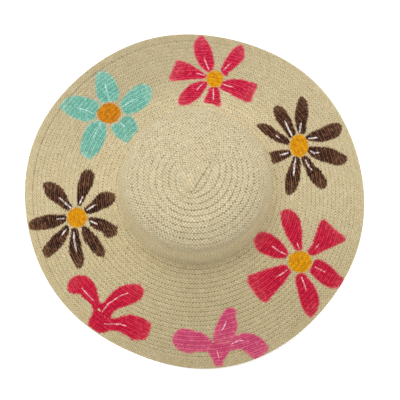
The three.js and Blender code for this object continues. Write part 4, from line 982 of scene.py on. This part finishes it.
    "pink_sprig": """
leaf_1 | -27.3,-176.5 -25.2,-170.8 -20.3,-166.0 -14.3,-164.0 -6.3,-165.1 1.6,-167.5 8.5,-169.8
14.4,-173.8 17.8,-178.0 17.0,-184.5 14.6,-190.2 11.5,-191.1 3.5,-191.1 -3.4,-192.5 -11.4,-192.0
-18.4,-190.0 -23.4,-186.2 -26.7,-180.4 | ;
leaf_2 | 21.3,-176.7 22.4,-168.0 25.3,-159.4 29.2,-151.6 34.1,-143.9 38.9,-140.1 44.9,-140.5
48.5,-143.9 47.9,-150.6 50.0,-157.3 49.4,-165.1 46.6,-172.5 41.2,-178.0 33.2,-180.4 23.8,-178.6
| 36.3,-155.6 34.0,-162.6 31.6,-166.0;
leaf_3 | 42.2,-179.4 48.1,-174.1 54.0,-170.8 60.0,-169.3 68.1,-170.3 75.1,-173.6 81.2,-177.4
84.9,-181.2 87.6,-186.7 83.1,-193.5 77.5,-197.2 71.8,-199.6 66.4,-197.0 61.4,-193.0 56.3,-189.2
51.2,-188.2 45.2,-189.2 42.0,-187.1 40.8,-183.1 | 42.4,-182.2 50.8,-178.7 57.9,-178.1;
stem | 19.3,-179.2 23.4,-180.6 33.3,-182.0 39.2,-181.7 40.8,-188.0 39.3,-193.0 35.4,-198.8
33.4,-203.8 32.3,-208.3 24.7,-208.8 22.6,-205.8 19.5,-198.8 16.3,-193.0 18.2,-186.3
| 25.8,-189.2 28.3,-198.5""",
}.items()}
# where the brush strokes start, for shapes without a disc
SPRIG_CENTRES = {"red_sprig": np.array([-112.0, -152.0]), "pink_sprig": np.array([0.0, 0.0])}

# sRGB colours: coat, in the hollows, thin coat, pale stroke, wash at the rim;
# then amounts: skips, paint in the hollows, worn rim, pale stroke, mottle
BROWN = ((50, 20, 14), (16, 6, 5), (140, 96, 66), (242, 232, 228), (126, 92, 66),
         0.68, 0.80, 0.50, 1.0, 0.35)
PAINTS = {
    "turquoise": ((120, 190, 172), (60, 128, 114), (170, 206, 190), (210, 232, 232),
                  (172, 200, 180), 0.50, 0.66, 0.70, 0.85, 0.35),
    "crimson": ((206, 6, 58), (136, 3, 38), (230, 88, 114), (252, 208, 210), (218, 122, 124),
                0.50, 0.62, 0.85, 0.80, 0.35),
    "brown_right": BROWN,
    "brown_left": BROWN,
    "red": ((202, 4, 50), (134, 2, 34), (226, 74, 100), (250, 208, 210), (214, 108, 112),
            0.46, 0.62, 0.85, 0.80, 0.35),
    "red_sprig": ((204, 5, 52), (138, 3, 36), (226, 72, 98), (250, 200, 206), (212, 98, 102),
                  0.42, 0.50, 0.75, 0.80, 0.30),
    "pink_sprig": ((204, 74, 114), (160, 40, 82), (220, 130, 150), (246, 206, 214),
                   (212, 128, 130), 0.42, 0.45, 0.75, 0.75, 0.35),
    "turquoise_disc": ((212, 136, 6), (144, 66, 4), (222, 160, 40), (226, 160, 60),
                       (204, 146, 56), 0.32, 0.50, 0.35, 0.0, 0.60),
    "disc": ((222, 156, 0), (170, 88, 4), (232, 184, 20), (236, 186, 70), (210, 160, 46),
             0.30, 0.36, 0.35, 0.0, 0.60),
}


def inside(outline, points):
    x, y = points[:, 0], points[:, 1]
    result = np.zeros(len(points), bool)
    for (x0, y0), (x1, y1) in zip(outline, np.roll(outline, -1, 0)):
        spans = (y0 > y) != (y1 > y)
        with np.errstate(divide="ignore", invalid="ignore"):
            crossing = (x1 - x0) * (y - y0) / (y1 - y0) + x0
        result ^= spans & (x < crossing)
    return result


def line_distance(line, points, closed=True):
    best = np.full(len(points), 1e9)
    ends = np.roll(line, -1, 0) if closed else line[1:]
    for a, b in zip(line, ends):
        d = b - a
        t = np.clip(((points - a) @ d) / max(d @ d, 1e-9), 0, 1)
        best = np.minimum(best, np.hypot(*(points - a - t[:, None] * d).T))
    return best


def signed_distance(outline, points):
    """Distance to an outline, negative inside it."""
    return line_distance(outline, points) * np.where(inside(outline, points), -1, 1)


def rounded(outline, n=6):
    """A smooth closed line through the outline's points (centripetal Catmull-Rom)."""
    out = []
    for k in range(len(outline)):
        a, b, c, d = (outline[(k + step) % len(outline)] for step in (-1, 0, 1, 2))
        t1 = max(np.hypot(*(b - a)), 1e-6) ** 0.5
        t2 = t1 + max(np.hypot(*(c - b)), 1e-6) ** 0.5
        t3 = t2 + max(np.hypot(*(d - c)), 1e-6) ** 0.5
        for t in np.linspace(t1, t2, n, endpoint=False):
            a1 = (t1 - t) / t1 * a + t / t1 * b
            a2 = (t2 - t) / (t2 - t1) * b + (t - t1) / (t2 - t1) * c
            a3 = (t3 - t) / (t3 - t2) * c + (t - t2) / (t3 - t2) * d
            b1 = (t2 - t) / t2 * a1 + t / t2 * a2
            b2 = (t3 - t) / (t3 - t1) * a2 + (t - t1) / (t3 - t1) * a3
            out.append((t2 - t) / (t2 - t1) * b1 + (t - t1) / (t2 - t1) * b2)
    return np.array(out)


def quad_edges(quads):
    return np.concatenate([quads[:, [0, 1]], quads[:, [1, 2]], quads[:, [2, 3]], quads[:, [3, 0]]])


def in_large_patch(quads):
    """Which faces belong to a run of at least 60 that share edges: leaves no loose specks."""
    face_of = np.tile(np.arange(len(quads)), 4)
    _, edge = np.unique(np.sort(quad_edges(quads), 1), axis=0, return_inverse=True)
    edge = edge.ravel()
    label = np.arange(len(quads))
    while True:
        lowest = np.full(edge.max() + 1, len(quads))
        np.minimum.at(lowest, edge, label[face_of])
        new = label.copy()
        np.minimum.at(new, face_of, lowest[edge])
        new = new[new]
        if (new == label).all():
            break
        label = new
    return np.bincount(label, minlength=len(quads))[label] >= 60


# Paint lies on the strip's top faces and on the hem. Each film lies between a raised and a sunk
# copy of their points; a film's faces come from this pool.
LIFT, SINK = 0.09, 0.10
_lip = ((SECTION_X >= 0.97) & (DEPTH < 0.75))[None] & (turns[:, None] >= 0)
raised = np.concatenate([to_scene(points).reshape(-1, 3) for points in (
    surface(strip_angle, strip_len + np.where(_lip, 0.10, 0.0),
            strip_out + np.where(DEPTH[None] < 0.5, LIFT, 0.0)),
    surface(hem_angle, hem_len + np.where(rounded_edge, LIFT, 0.0),
            hem_out + np.where(flat_top, LIFT, 0.0)))])
sunk = np.concatenate([to_scene(points).reshape(-1, 3) for points in (
    surface(strip_angle, strip_len, strip_out - np.where(DEPTH[None] < 0.1, SINK, 0.0)),
    surface(hem_angle, hem_len - np.where(rounded_edge, SINK, 0.0),
            hem_out - np.where(flat_top, SINK, 0.0)))])

_first_column = int(np.searchsorted(turns, 21.0))
I, J = np.meshgrid(np.arange(_first_column, COLUMNS - 1), np.arange(2, TOP_POINTS + 1),
                   indexing="ij")
I, J = I.ravel(), J.ravel()
_uncovered = (rows[I, J] + rows[I, J + 1]) / 2 < LAST_ROW - 0.02
I, J = I[_uncovered], J[_uncovered]
_strip_quads = np.stack([I * RING + J, (I + 1) * RING + J, (I + 1) * RING + J + 1,
                         I * RING + J + 1], -1)
I, J = np.meshgrid(np.arange(HEM_COLUMNS), np.arange(HEM_TOP_POINTS + HEM_TURN_POINTS - 1),
                   indexing="ij")
I, J = I.ravel(), J.ravel()
I2 = (I + 1) % HEM_COLUMNS
_hem_quads = np.stack([I * HEM_RING + J, I2 * HEM_RING + J, I2 * HEM_RING + J + 1,
                       I * HEM_RING + J + 1], -1)
pool_mm = np.concatenate([strip_mm.reshape(-1, 3), hem_mm.reshape(-1, 3)])
pool_plan = np.concatenate([strip_points[..., :2].reshape(-1, 2),
                            hem_points[..., :2].reshape(-1, 2)])
pool_quads = np.concatenate([_strip_quads, _hem_quads + COLUMNS * RING])
pool_middle = pool_plan[pool_quads].mean(1)
taken = np.zeros(len(pool_quads), bool)             # a face carries one paint only


def film_faces(outline, others):
    """Pool faces under an outline; others are the shapes of one sprig, which run together."""
    low, high = outline.min(0) - 3, outline.max(0) + 3
    near = np.flatnonzero(((pool_middle > low) & (pool_middle < high)).all(1))
    middles = pool_middle[near]
    # paint reaches further along the strip's ribs than into the hollows between them
    corner = pool_mm[pool_quads[near, 0]]
    along, across = corner[:, 0] + 0.34, corner[:, 1] + 0.2
    reach = (0.75 * np.cos((across - 2.6) * 2 * math.pi / RIB)
             + 0.55 * (plait_height(along, across) - 0.6)
             + 0.9 * (hash01(np.floor(along / 1.85), np.floor(across / 1.4)) - 0.5))
    join = np.zeros(len(middles))
    for line in others:
        join = np.maximum(join, np.clip(1 - line_distance(line, middles) / 3.5, 0, 1))
    covered = signed_distance(outline, middles) < reach + 0.30 + 2.2 * join
    faces = near[covered & ~taken[near]]
    return faces[in_large_patch(pool_quads[faces])]


def add_film(name, outline, stroke, material, slot, node, centre, others, stroke_width):
    """A closed film of paint with the attributes "rim", "stroke" and "far"."""
    outline = rounded(outline)
    faces = film_faces(outline, others)
    taken[faces] = True
    used, index = np.unique(pool_quads[faces], return_inverse=True)
    top = index.reshape(-1, 4)
    n = len(used)
    # edges that belong to one face only are the film's rim
    edges = quad_edges(top)
    _, first, count = np.unique(np.sort(edges, 1), axis=0, return_index=True, return_counts=True)
    rim = edges[first[count == 1]]
    walls = np.stack([rim[:, 1], rim[:, 0], rim[:, 0] + n, rim[:, 1] + n], -1)
    quads = np.concatenate([top, top[:, ::-1] + n, walls])
    plan = pool_plan[used]
    near_rim = np.clip(1 + signed_distance(outline, plan) / 1.6, 0, 1)
    for line in others:
        near_rim *= 1 - np.clip(2.2 - line_distance(line, plan) / 1.6, 0, 1)
    on_stroke = np.zeros(n)
    if len(stroke) > 1:
        # the stroke narrows to its ends
        to_end = np.minimum(np.hypot(*(plan - stroke[0]).T), np.hypot(*(plan - stroke[-1]).T))
        width = 0.75 + 0.5 * np.clip(to_end / 5.0, 0, 1)
        on_stroke = np.clip(
            1 - line_distance(stroke, plan, closed=False) / width / stroke_width, 0, 1)
    distance = np.hypot(*(plan - centre).T)
    far = (distance - distance.min()) / max(float(np.ptp(distance)), 1e-6)

    def both(values):
        return np.concatenate([values, values])

    size = (plan.max(0) - plan.min(0)).max() + 1e-6
    uv = both((plan - plan.min(0)) / size * 0.96 + 0.02)[quads.ravel()]
    add_mesh(name, np.concatenate([raised[used], sunk[used]]), quads, material, node,
             {"rim": both(near_rim), "stroke": both(on_stroke), "far": both(far)},
             both(pool_mm[used]), uv)


def add_flowers():
    materials = {key: paint_material("paint_" + key, *row) for key, row in PAINTS.items()}
    shapes = [(flower, part) for flower, parts in FLOWERS.items() for part in parts]
    # discs first, so that they keep the faces they share with petals
    for flower, part in sorted(shapes, key=lambda shape: shape[1] != "disc"):
        parts = FLOWERS[flower]
        node = f"{flower}_{part}"
        slot = f"paint_{flower}"
        material = materials[flower]
        stroke_width = 1.45 if flower.startswith("brown") else 1.0
        if part == "disc":
            slot += "_disc"
            material = materials.get(node, materials["disc"])
            stroke_width = 1.0
        if flower in SPRIG_CENTRES:
            centre = SPRIG_CENTRES[flower]
            others = [rounded(parts[other][0]) for other in parts if other != part]
        else:
            centre = np.mean(parts["disc"][0], axis=0)
            others = []
        add_film(node + "_paint", *parts[part], material, slot, node, centre, others,
                 stroke_width)


add_flowers()


# ------------------------------------------------------------------ cloth and thread
def fabric_material(name, light, dark, pitch, slant):
    """Woven cloth; slant 1 turns the ribs into a twill."""
    material, g = new_material(name)
    along, across = g.strip()
    warp = (((along + across * slant) / pitch).math("FRACT") * math.pi).math("SINE")
    weft = ((across / pitch).math("FRACT") * math.pi).math("SINE")
    height = warp * (0.6 + weft * 0.4)
    broad = g.noise(g.vector(along * 0.12, across * 0.4, 1.0), detail=3.0)
    yarn = g.noise(g.vector(along * 0.9, across * 6.0, 4.0), detail=1.0)
    # painted shade between the yarns, lighter on their crests
    colour = g.mix(height.span(0.1, 0.8), dark, light)
    colour = g.mix(broad.span(0.4, 0.75) * 0.3, colour, dark)
    colour = g.mix(yarn.span(0.4, 0.8) * 0.2, colour, dark)
    g.surface({"Base Color": colour, "Roughness": yarn.span(0.2, 0.8, 0.82, 0.95),
               "Specular IOR Level": 0.2, "Sheen Weight": 0.25,
               "Normal": g.bump(height, strength=0.6, distance=0.00012)})
    return material


def thread_material(name, light, dark, pitch):
    material, g = new_material(name)
    along, across = g.strip()
    ply = ((along / pitch + across).math("FRACT") * math.pi).math("SINE")
    fuzz = g.noise(g.vector(along * 3.0, across * 9.0, 2.0), detail=2.0)
    # painted shade between the plies, lighter on their crests
    colour = g.mix(ply.span(0.05, 0.7), dark, light)
    colour = g.mix(fuzz.span(0.4, 0.75) * 0.3, colour, dark)
    g.surface({"Base Color": colour, "Roughness": fuzz.span(0.2, 0.8, 0.7, 0.88),
               "Sheen Weight": 0.2,
               "Normal": g.bump(ply, strength=0.5, distance=0.0001)})
    return material


def label_material():
    material, g = new_material("label_satin")
    along, across = g.strip()
    rib = (across * (2 * math.pi / 0.35)).math("SINE")
    streaks = g.noise(g.vector(along * 0.4, across * 3.0, 3.0), detail=2.0)
    edge = along.math("ABSOLUTE").span(9.9, 10.6).math("MAXIMUM", 0.0)
    # painted shade between the satin's ribs, lighter on their crests
    colour = g.mix(rib.span(-0.6, 0.8), rgb(222, 219, 208), rgb(246, 244, 236))
    colour = g.mix(streaks * 0.25, colour, rgb(206, 202, 188))
    colour = g.mix(edge * 0.5, colour, rgb(196, 190, 172))
    g.surface({"Base Color": colour, "Roughness": streaks.span(0.2, 0.8, 0.4, 0.6),
               "Sheen Weight": 0.3,
               "Normal": g.bump(rib, strength=0.35, distance=0.00008)})
    return material


# ------------------------------------------------------------------ inside the crown
STRAW_THICK = 2.0                                   # wall of the crown
BAND_GAP, BAND_THICK = 0.35, 0.7
BAND_TOP, CUFF_TOP = 28.7, 9.7
ROUND = BAND_THICK / 2                              # rounded upper edges of band and cuff


def band_out(z):
    """Radius of the sweatband's outer face at a height."""
    return (WALL_END[0] - (np.asarray(z, float) - WALL_END[1]) / math.tan(WALL_ANGLE)
            - STRAW_THICK / math.sin(WALL_ANGLE) - BAND_GAP)


def band_in(z):
    return band_out(z) - BAND_THICK


CUFF_IN = float(band_out(10.0)) - 3.2               # inner radius of the turned-up cuff
TAIL_RADIUS = CUFF_IN - 3.0                         # where the cord's tails hang


def band_section():
    """(radius, z) up the band's outer face, down its inner face, and up and down the cuff."""
    half_turn = [math.pi * k / 4 for k in range(1, 4)]
    return np.array(
        [(band_out(z), z) for z in np.linspace(1.9, BAND_TOP, 20)]
        + [(band_out(BAND_TOP) - ROUND + ROUND * math.cos(a), BAND_TOP + ROUND * math.sin(a))
           for a in half_turn]
        + [(band_in(z), z) for z in np.linspace(BAND_TOP, 10.9, 15)]
        + [(band_in(6), 6.0), (band_in(2.4), 2.4),
           (band_in(2.2) - 0.6, 2.2), (band_in(2.2) - 1.3, 2.25)]
        + [(CUFF_IN + BAND_THICK, z) for z in np.linspace(3.0, CUFF_TOP, 6)]
        + [(CUFF_IN + ROUND + ROUND * math.cos(a), CUFF_TOP + ROUND * math.sin(a))
           for a in half_turn]
        + [(CUFF_IN, z) for z in np.linspace(CUFF_TOP, 2.3, 8)]
        + [(CUFF_IN + 0.25, 1.75), (CUFF_IN + 0.8, 1.5), (band_out(1.5) - 0.6, 1.5)])


def add_sweatband():
    turn = np.radians(np.linspace(90.4, 449.6, 620))
    section = band_section()
    radius, z = section[:, 0][None], section[:, 1][None]

    def waving(seed, scale):
        return wobble(turn * 85, seed, scale)[:, None]

    soft = 0.16 * waving(21, 9.0) * (z > 11) * np.clip((28.9 - z) / 8, 0, 1)
    pucker = 0.10 * np.sin(turn[:, None] * 95) * np.clip((z - 24) / 4, 0, 1)
    cuff_wave = -0.10 * waving(33, 5.0) * (radius < CUFF_IN + 0.2)
    rings = cylinder(radius - np.abs(soft) - np.abs(pucker) * 0.6 + cuff_wave, turn[:, None],
                     z + 0.12 * waving(41, 14.0) * (z > 27))
    cloth = fabric_material("band_twill", light=rgb(226, 214, 186), dark=rgb(188, 172, 138),
                            pitch=0.7, slant=1.0)
    add_sweep("sweatband_cloth", to_scene(rings), cloth, "sweatband",
              strip_coords(turn[:, None] * 86, path_length(section)[None]), bands=8)


def add_join_ribbon():
    """Ribbon patch over the band's two ends, at the back."""
    columns, points = 40, 26
    turn = np.radians(np.linspace(82, 98, columns))[:, None]
    z = np.linspace(13.5, 26.2, points)
    tuck = np.maximum(np.abs(np.linspace(-1, 1, columns))[:, None] ** 10,
                      np.abs(np.linspace(-1, 1, points))[None] ** 10)
    inner = (band_in(z)[None] - 0.88 + 0.3 * tuck
             - 0.05 * np.cos(np.linspace(0, 18, columns))[:, None] * (1 - tuck))
    outer = np.broadcast_to(band_in(z)[None] - 0.38, inner.shape)
    z = there_and_back(z[None], z[None])
    ribbon = fabric_material("patch_ribbon", light=rgb(214, 200, 168), dark=rgb(172, 154, 118),
                             pitch=0.6, slant=0.0)
    add_sweep("sweatband_join_ribbon", to_scene(cylinder(there_and_back(inner, outer), turn, z)),
              ribbon, "sweatband_join_patch", strip_coords(turn * 85, z), bands=2)


def add_stitches():
    """Stitches along the band's top edge, each a short, slightly sunk bead of thread."""
    count, stations, sides = 172, 9, 8
    length, thread_radius, z = 2.3, 0.27, 27.4
    turn = np.radians(90.9 + np.arange(count) * (358.2 / (count - 1)))
    ring = float(band_in(z)) - 0.18 - 0.06 * np.abs(np.sin(turn * 95))
    centres = cylinder(ring, turn, z)
    forward = np.stack([-np.sin(turn), np.cos(turn), np.zeros(count)], -1)
    inward = np.stack([-np.cos(turn), -np.sin(turn), np.zeros(count)], -1)
    side = np.cross(forward, inward)
    side /= np.linalg.norm(side, axis=1)[:, None]
    x = np.linspace(-1, 1, stations)
    radius = (thread_radius * np.sqrt(np.clip(1 - np.abs(x) ** 4, 0.04, 1)))[None, :, None, None]
    sag = (-0.35 * thread_radius * x ** 2 * 2)[None, :, None, None]
    around_thread = np.arange(sides) / sides * 2 * math.pi
    phase = around_thread[None, None, :, None]
    points = (centres[:, None, None]
              + forward[:, None, None] * (x[None, :, None, None] * length / 2)
              + inward[:, None, None] * (sag + radius * np.cos(phase))
              + side[:, None, None] * (radius * np.sin(phase)))
    offset = (np.arange(count) * stations * sides)[:, None, None]
    quads = (sweep_quads(stations, sides)[None] + offset).reshape(-1, 4)
    tris = (end_caps(stations, sides)[None] + offset).reshape(-1, 3)
    strip = strip_coords((x * length / 2)[None, :, None] + 10 * np.arange(count)[:, None, None],
                         (around_thread / 6.2832)[None, None, :])
    # each stitch has its own square of the UV map
    squares = math.ceil(math.sqrt(count))
    square = np.stack([np.arange(count) % squares, np.arange(count) // squares], -1) / squares
    local = np.stack(np.broadcast_arrays((x * 0.45 + 0.5)[:, None] / squares,
                                         (np.arange(sides) + 0.5)[None] / sides / squares), -1)
    uv = (square[:, None, None] + local[None]).reshape(-1, 2)
    thread = thread_material("thread_cotton", light=rgb(240, 232, 212), dark=rgb(196, 182, 150),
                             pitch=0.6)
    add_mesh("sweatband_stitches", to_scene(points.reshape(-1, 3)), quads, thread,
             "sweatband_stitching", {"cav": np.zeros(count * stations * sides)}, strip,
             np.concatenate([uv[quads.ravel()], uv[tris.ravel()]]), tris)


def smooth_path(points, step, sigma):
    """Points every step along a line, blurred along it by sigma."""
    points = np.asarray(points, float)
    run = running(np.linalg.norm(np.diff(points, axis=0), axis=1))
    s = np.linspace(0, run[-1], int(run[-1] / step))
    p = np.stack([np.interp(s, run, points[:, k]) for k in range(3)], -1)
    w = int(sigma * 3 / step)
    kernel = np.exp(-(np.arange(-w, w + 1) * step / sigma) ** 2 / 2)
    kernel /= kernel.sum()
    padded = np.concatenate([2 * p[0] - p[1:w + 1][::-1], p, 2 * p[-1] - p[-w - 1:-1][::-1]])
    return np.stack([np.convolve(padded[:, k], kernel, "valid") for k in range(3)], -1)


def add_cord():
    """Twisted cord round the inside of the cuff; its two tails hang down at the back."""
    cord_radius, step, sides, twist_pitch = 0.68, 0.5, 16, 4.2
    cord_z = 1.5 + 0.7 + 0.7 + 0.2
    ring = float(band_in(cord_z)) - 0.9

    def tail(side):
        return [[9.0 * side, ring * math.cos(math.radians(6)), cord_z],
                [6.4 * side, float(band_in(7)) - 0.95, 6.6],
                [4.8 * side, float(band_in(11)) - 1.1, 10.6],
                [4.0 * side, CUFF_IN + 1.4, 11.9], [3.4 * side, CUFF_IN - 1.0, 11.8],
                [3.0 * side, TAIL_RADIUS, 9.6], [3.0 * side, TAIL_RADIUS, 0.0],
                [3.0 * side, TAIL_RADIUS, -18.0]]

    circle = [[ring * math.cos(math.radians(a)), ring * math.sin(math.radians(a)), cord_z]
              for a in np.arange(98, 443, 3.0)]
    path = smooth_path(tail(-1)[::-1] + circle + tail(1), step, sigma=0.55)
    forward = np.gradient(path, axis=0)
    forward /= np.linalg.norm(forward, axis=1)[:, None]
    # carry one sideways direction along the path without twisting
    side = np.zeros_like(path)
    v = np.array([0.0, 1.0, 0.0])
    for i, f in enumerate(forward):
        v = v - (v @ f) * f
        v /= np.linalg.norm(v)
        side[i] = v
    other = np.cross(forward, side)
    phase = np.arange(sides) / sides * 2 * math.pi
    along = np.arange(len(path)) * step
    twist = along[:, None] * 2 * math.pi / twist_pitch
    radius = cord_radius * (0.86 + 0.14 * np.abs(np.cos((phase[None] - twist) * 1.5)))
    rings = path[:, None] + radius[..., None] * (np.cos(phase)[None, :, None] * side[:, None]
                                                 + np.sin(phase)[None, :, None] * other[:, None])
    cotton = thread_material("cord_cotton", light=rgb(238, 230, 208), dark=rgb(178, 162, 126),
                             pitch=1.4)
    add_sweep("drawcord_twisted", to_scene(rings), cotton, "drawcord",
              strip_coords(along[:, None], phase[None] / 6.2832 * 3), bands=12)


def add_label():
    """Care label: a blank ribbon hanging inside the band, a little curved."""
    half_width, top = 11.0, 26.4
    at = math.radians(123)
    plane = math.sqrt(float(band_in(top)) ** 2 - half_width ** 2) - 0.45
    y = np.linspace(-half_width, half_width, 34)
    z = np.linspace(26.35, 10.85, 30)
    drop = ((top - z) / 15.6)[None]
    curl = (0.35 * drop ** 2 * (0.6 + 0.4 * np.cos(y / half_width * 1.4))[:, None]
            + 0.05 * np.sin(y[:, None] * 0.7 + z[None] * 0.5) * drop)
    x = there_and_back(plane - 0.36 - curl, plane - 0.04 - curl)
    y = np.broadcast_to(y[:, None], x.shape)
    z = np.broadcast_to(there_and_back(z[None], z[None]), x.shape)
    rings = np.stack([x * math.cos(at) - y * math.sin(at), x * math.sin(at) + y * math.cos(at), z],
                     -1)
    add_sweep("care_label_ribbon", to_scene(rings), label_material(), "care_label",
              strip_coords(y, z), bands=1, body="label")


add_sweatband()
add_join_ribbon()
add_stitches()
add_cord()
add_label()


# ------------------------------------------------------------------ CAD parts shown as they are
def wire_material():
    material, g = new_material("wire_zinc")
    coords = g.coords()
    grain = g.noise(coords, detail=3.0, scale=900.0)
    spangle = g.noise(coords, detail=2.0, scale=120.0)
    colour = g.mix(spangle.span(0.35, 0.65), rgb(150, 152, 154), rgb(186, 188, 190))
    colour = g.mix(grain * 0.4, colour, rgb(120, 122, 124))
    g.surface({"Base Color": colour, "Metallic": 1.0,
               "Roughness": grain.span(0.3, 0.7, 0.28, 0.5)})
    return material


def wood_material():
    material, g = new_material("stopper_beech")
    x, y, z = g.parts(g.coords())
    warp = g.noise(g.vector(x * 120.0, y * 120.0, z * 30.0), detail=2.0)
    rings = (x * 5200.0 + warp * 9.0).math("SINE")
    flecks = g.noise(g.vector(x * 3000.0, y * 3000.0, z * 350.0), detail=2.0)
    colour = g.mix(rings.span(-0.7, 0.9), rgb(196, 160, 108), rgb(222, 192, 142))
    colour = g.mix(flecks.span(0.45, 0.7) * 0.5, colour, rgb(160, 120, 74))
    g.surface({"Base Color": colour, "Roughness": flecks.span(0.2, 0.8, 0.36, 0.52),
               "Normal": g.bump(flecks, strength=0.2, distance=0.00005)})
    return material


WIRE, WOOD = wire_material(), wood_material()
for node, material in (("brim_edge_wire", WIRE), ("wire_joiner_sleeve", WIRE),
                       ("cord_stopper", WOOD)):
    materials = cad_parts[node].data.materials
    materials.clear()
    materials.append(material)


# ------------------------------------------------------------------ floor, light, camera
def floor_material():
    """A light table: it keeps the hat's inside from going black, and from below it is clear."""
    material, g = new_material("studio_light_table")
    cloud = g.noise(g.coords(), detail=2.0, scale=6.0)
    # the floor glows a little: painted light that reaches the hat's underside and pales its shadow
    # on the floor
    g.surface({"Base Color": g.mix(cloud * 0.3, (0.97, 0.97, 0.97, 1), (0.95, 0.95, 0.95, 1)),
               "Roughness": 0.9, "Specular IOR Level": 0.1,
               "Emission Color": (1.0, 0.995, 0.98, 1), "Emission Strength": 0.35})
    nodes = g.tree.nodes
    glowing_floor = Value(g, nodes["Principled BSDF"].outputs[0])
    mixed = g.node("MixShader", {0: g.node("NewGeometry", output="Backfacing"),
                                 1: glowing_floor, 2: g.node("BsdfTransparent")})
    g.feed(nodes["Material Output"].inputs["Surface"], mixed)
    return material


def add_to_scene(name, data):
    made = bpy.data.objects.new(name, data)
    bpy.context.scene.collection.objects.link(made)
    return made


def add_floor():
    mesh = bpy.data.meshes.new("studio_floor")
    mesh.from_pydata([(-4, -4, 0), (4, -4, 0), (4, 4, 0), (-4, 4, 0)], [], [(0, 1, 2, 3)])
    mesh.materials.append(floor_material())
    add_to_scene("studio_floor", mesh)


def set_world():
    """Studio surround: brighter at the sides, dimmer in front and behind."""
    base, sides, front_and_back, far_side, overhead = 0.58, 0.42, -0.22, 0.04, 0.08
    lowest, seen_by_camera = 0.05, 0.86
    world = bpy.data.worlds.new("studio")
    world.use_nodes = True
    g = Graph(world.node_tree)
    x, y, z = g.parts(g.coords("Generated"))
    power = base + x * x * sides + y * y * front_and_back + y * far_side
    power = (power + z * overhead).math("MAXIMUM", lowest)
    camera_ray = g.node("LightPath", output="Is Camera Ray")
    background = g.tree.nodes["Background"]
    background.inputs[0].default_value = (1.0, 0.995, 0.98, 1)
    g.feed(background.inputs[1], power * (1.0 - camera_ray) + camera_ray * seen_by_camera)
    bpy.context.scene.world = world


def add_lamp(name, at, aim, size, power, colour):
    data = bpy.data.lights.new(name, "AREA")
    data.shape = "DISK"
    data.size = size
    data.energy = power
    data.color = colour
    made = bpy.data.objects.new(name, data)
    made.location = at
    made.rotation_mode = "QUATERNION"
    made.rotation_quaternion = (Vector(aim) - Vector(at)).to_track_quat("-Z", "Y")
    bpy.context.scene.collection.objects.link(made)


def add_camera():
    """Looks down at the crown's fold from above, tilted a little to the front."""
    tilt, distance = math.radians(11.6), 1022.0
    data = bpy.data.cameras.new("camera")
    camera = add_to_scene("camera", data)
    at = to_scene(np.array([0.0, -distance * math.sin(tilt), distance * math.cos(tilt)]))
    look = to_scene(np.zeros(3)) - at
    look /= np.linalg.norm(look)
    right = np.cross(look, TURN @ np.array([0.0, math.cos(tilt), math.sin(tilt)]))
    right /= np.linalg.norm(right)
    up = np.cross(right, look)
    camera.matrix_world = Matrix([[right[k], up[k], -look[k], at[k]] for k in range(3)]
                                 + [[0, 0, 0, 1]])
    data.sensor_width = 36.0
    data.lens = 76.65
    data.shift_x, data.shift_y = 0.0116, -0.0271
    data.clip_start, data.clip_end = 0.01, 20.0
    bpy.context.scene.camera = camera


add_floor()
set_world()
add_lamp("top", at=(-0.15, 0.25, 1.9), aim=(0, 0, 0.05), size=1.2, power=21.0,
         colour=(1.0, 0.99, 0.97))
add_camera()
view = bpy.context.scene.view_settings
view.view_transform = "Standard"
view.look = "None"
view.exposure = 0.0
view.gamma = 1.0
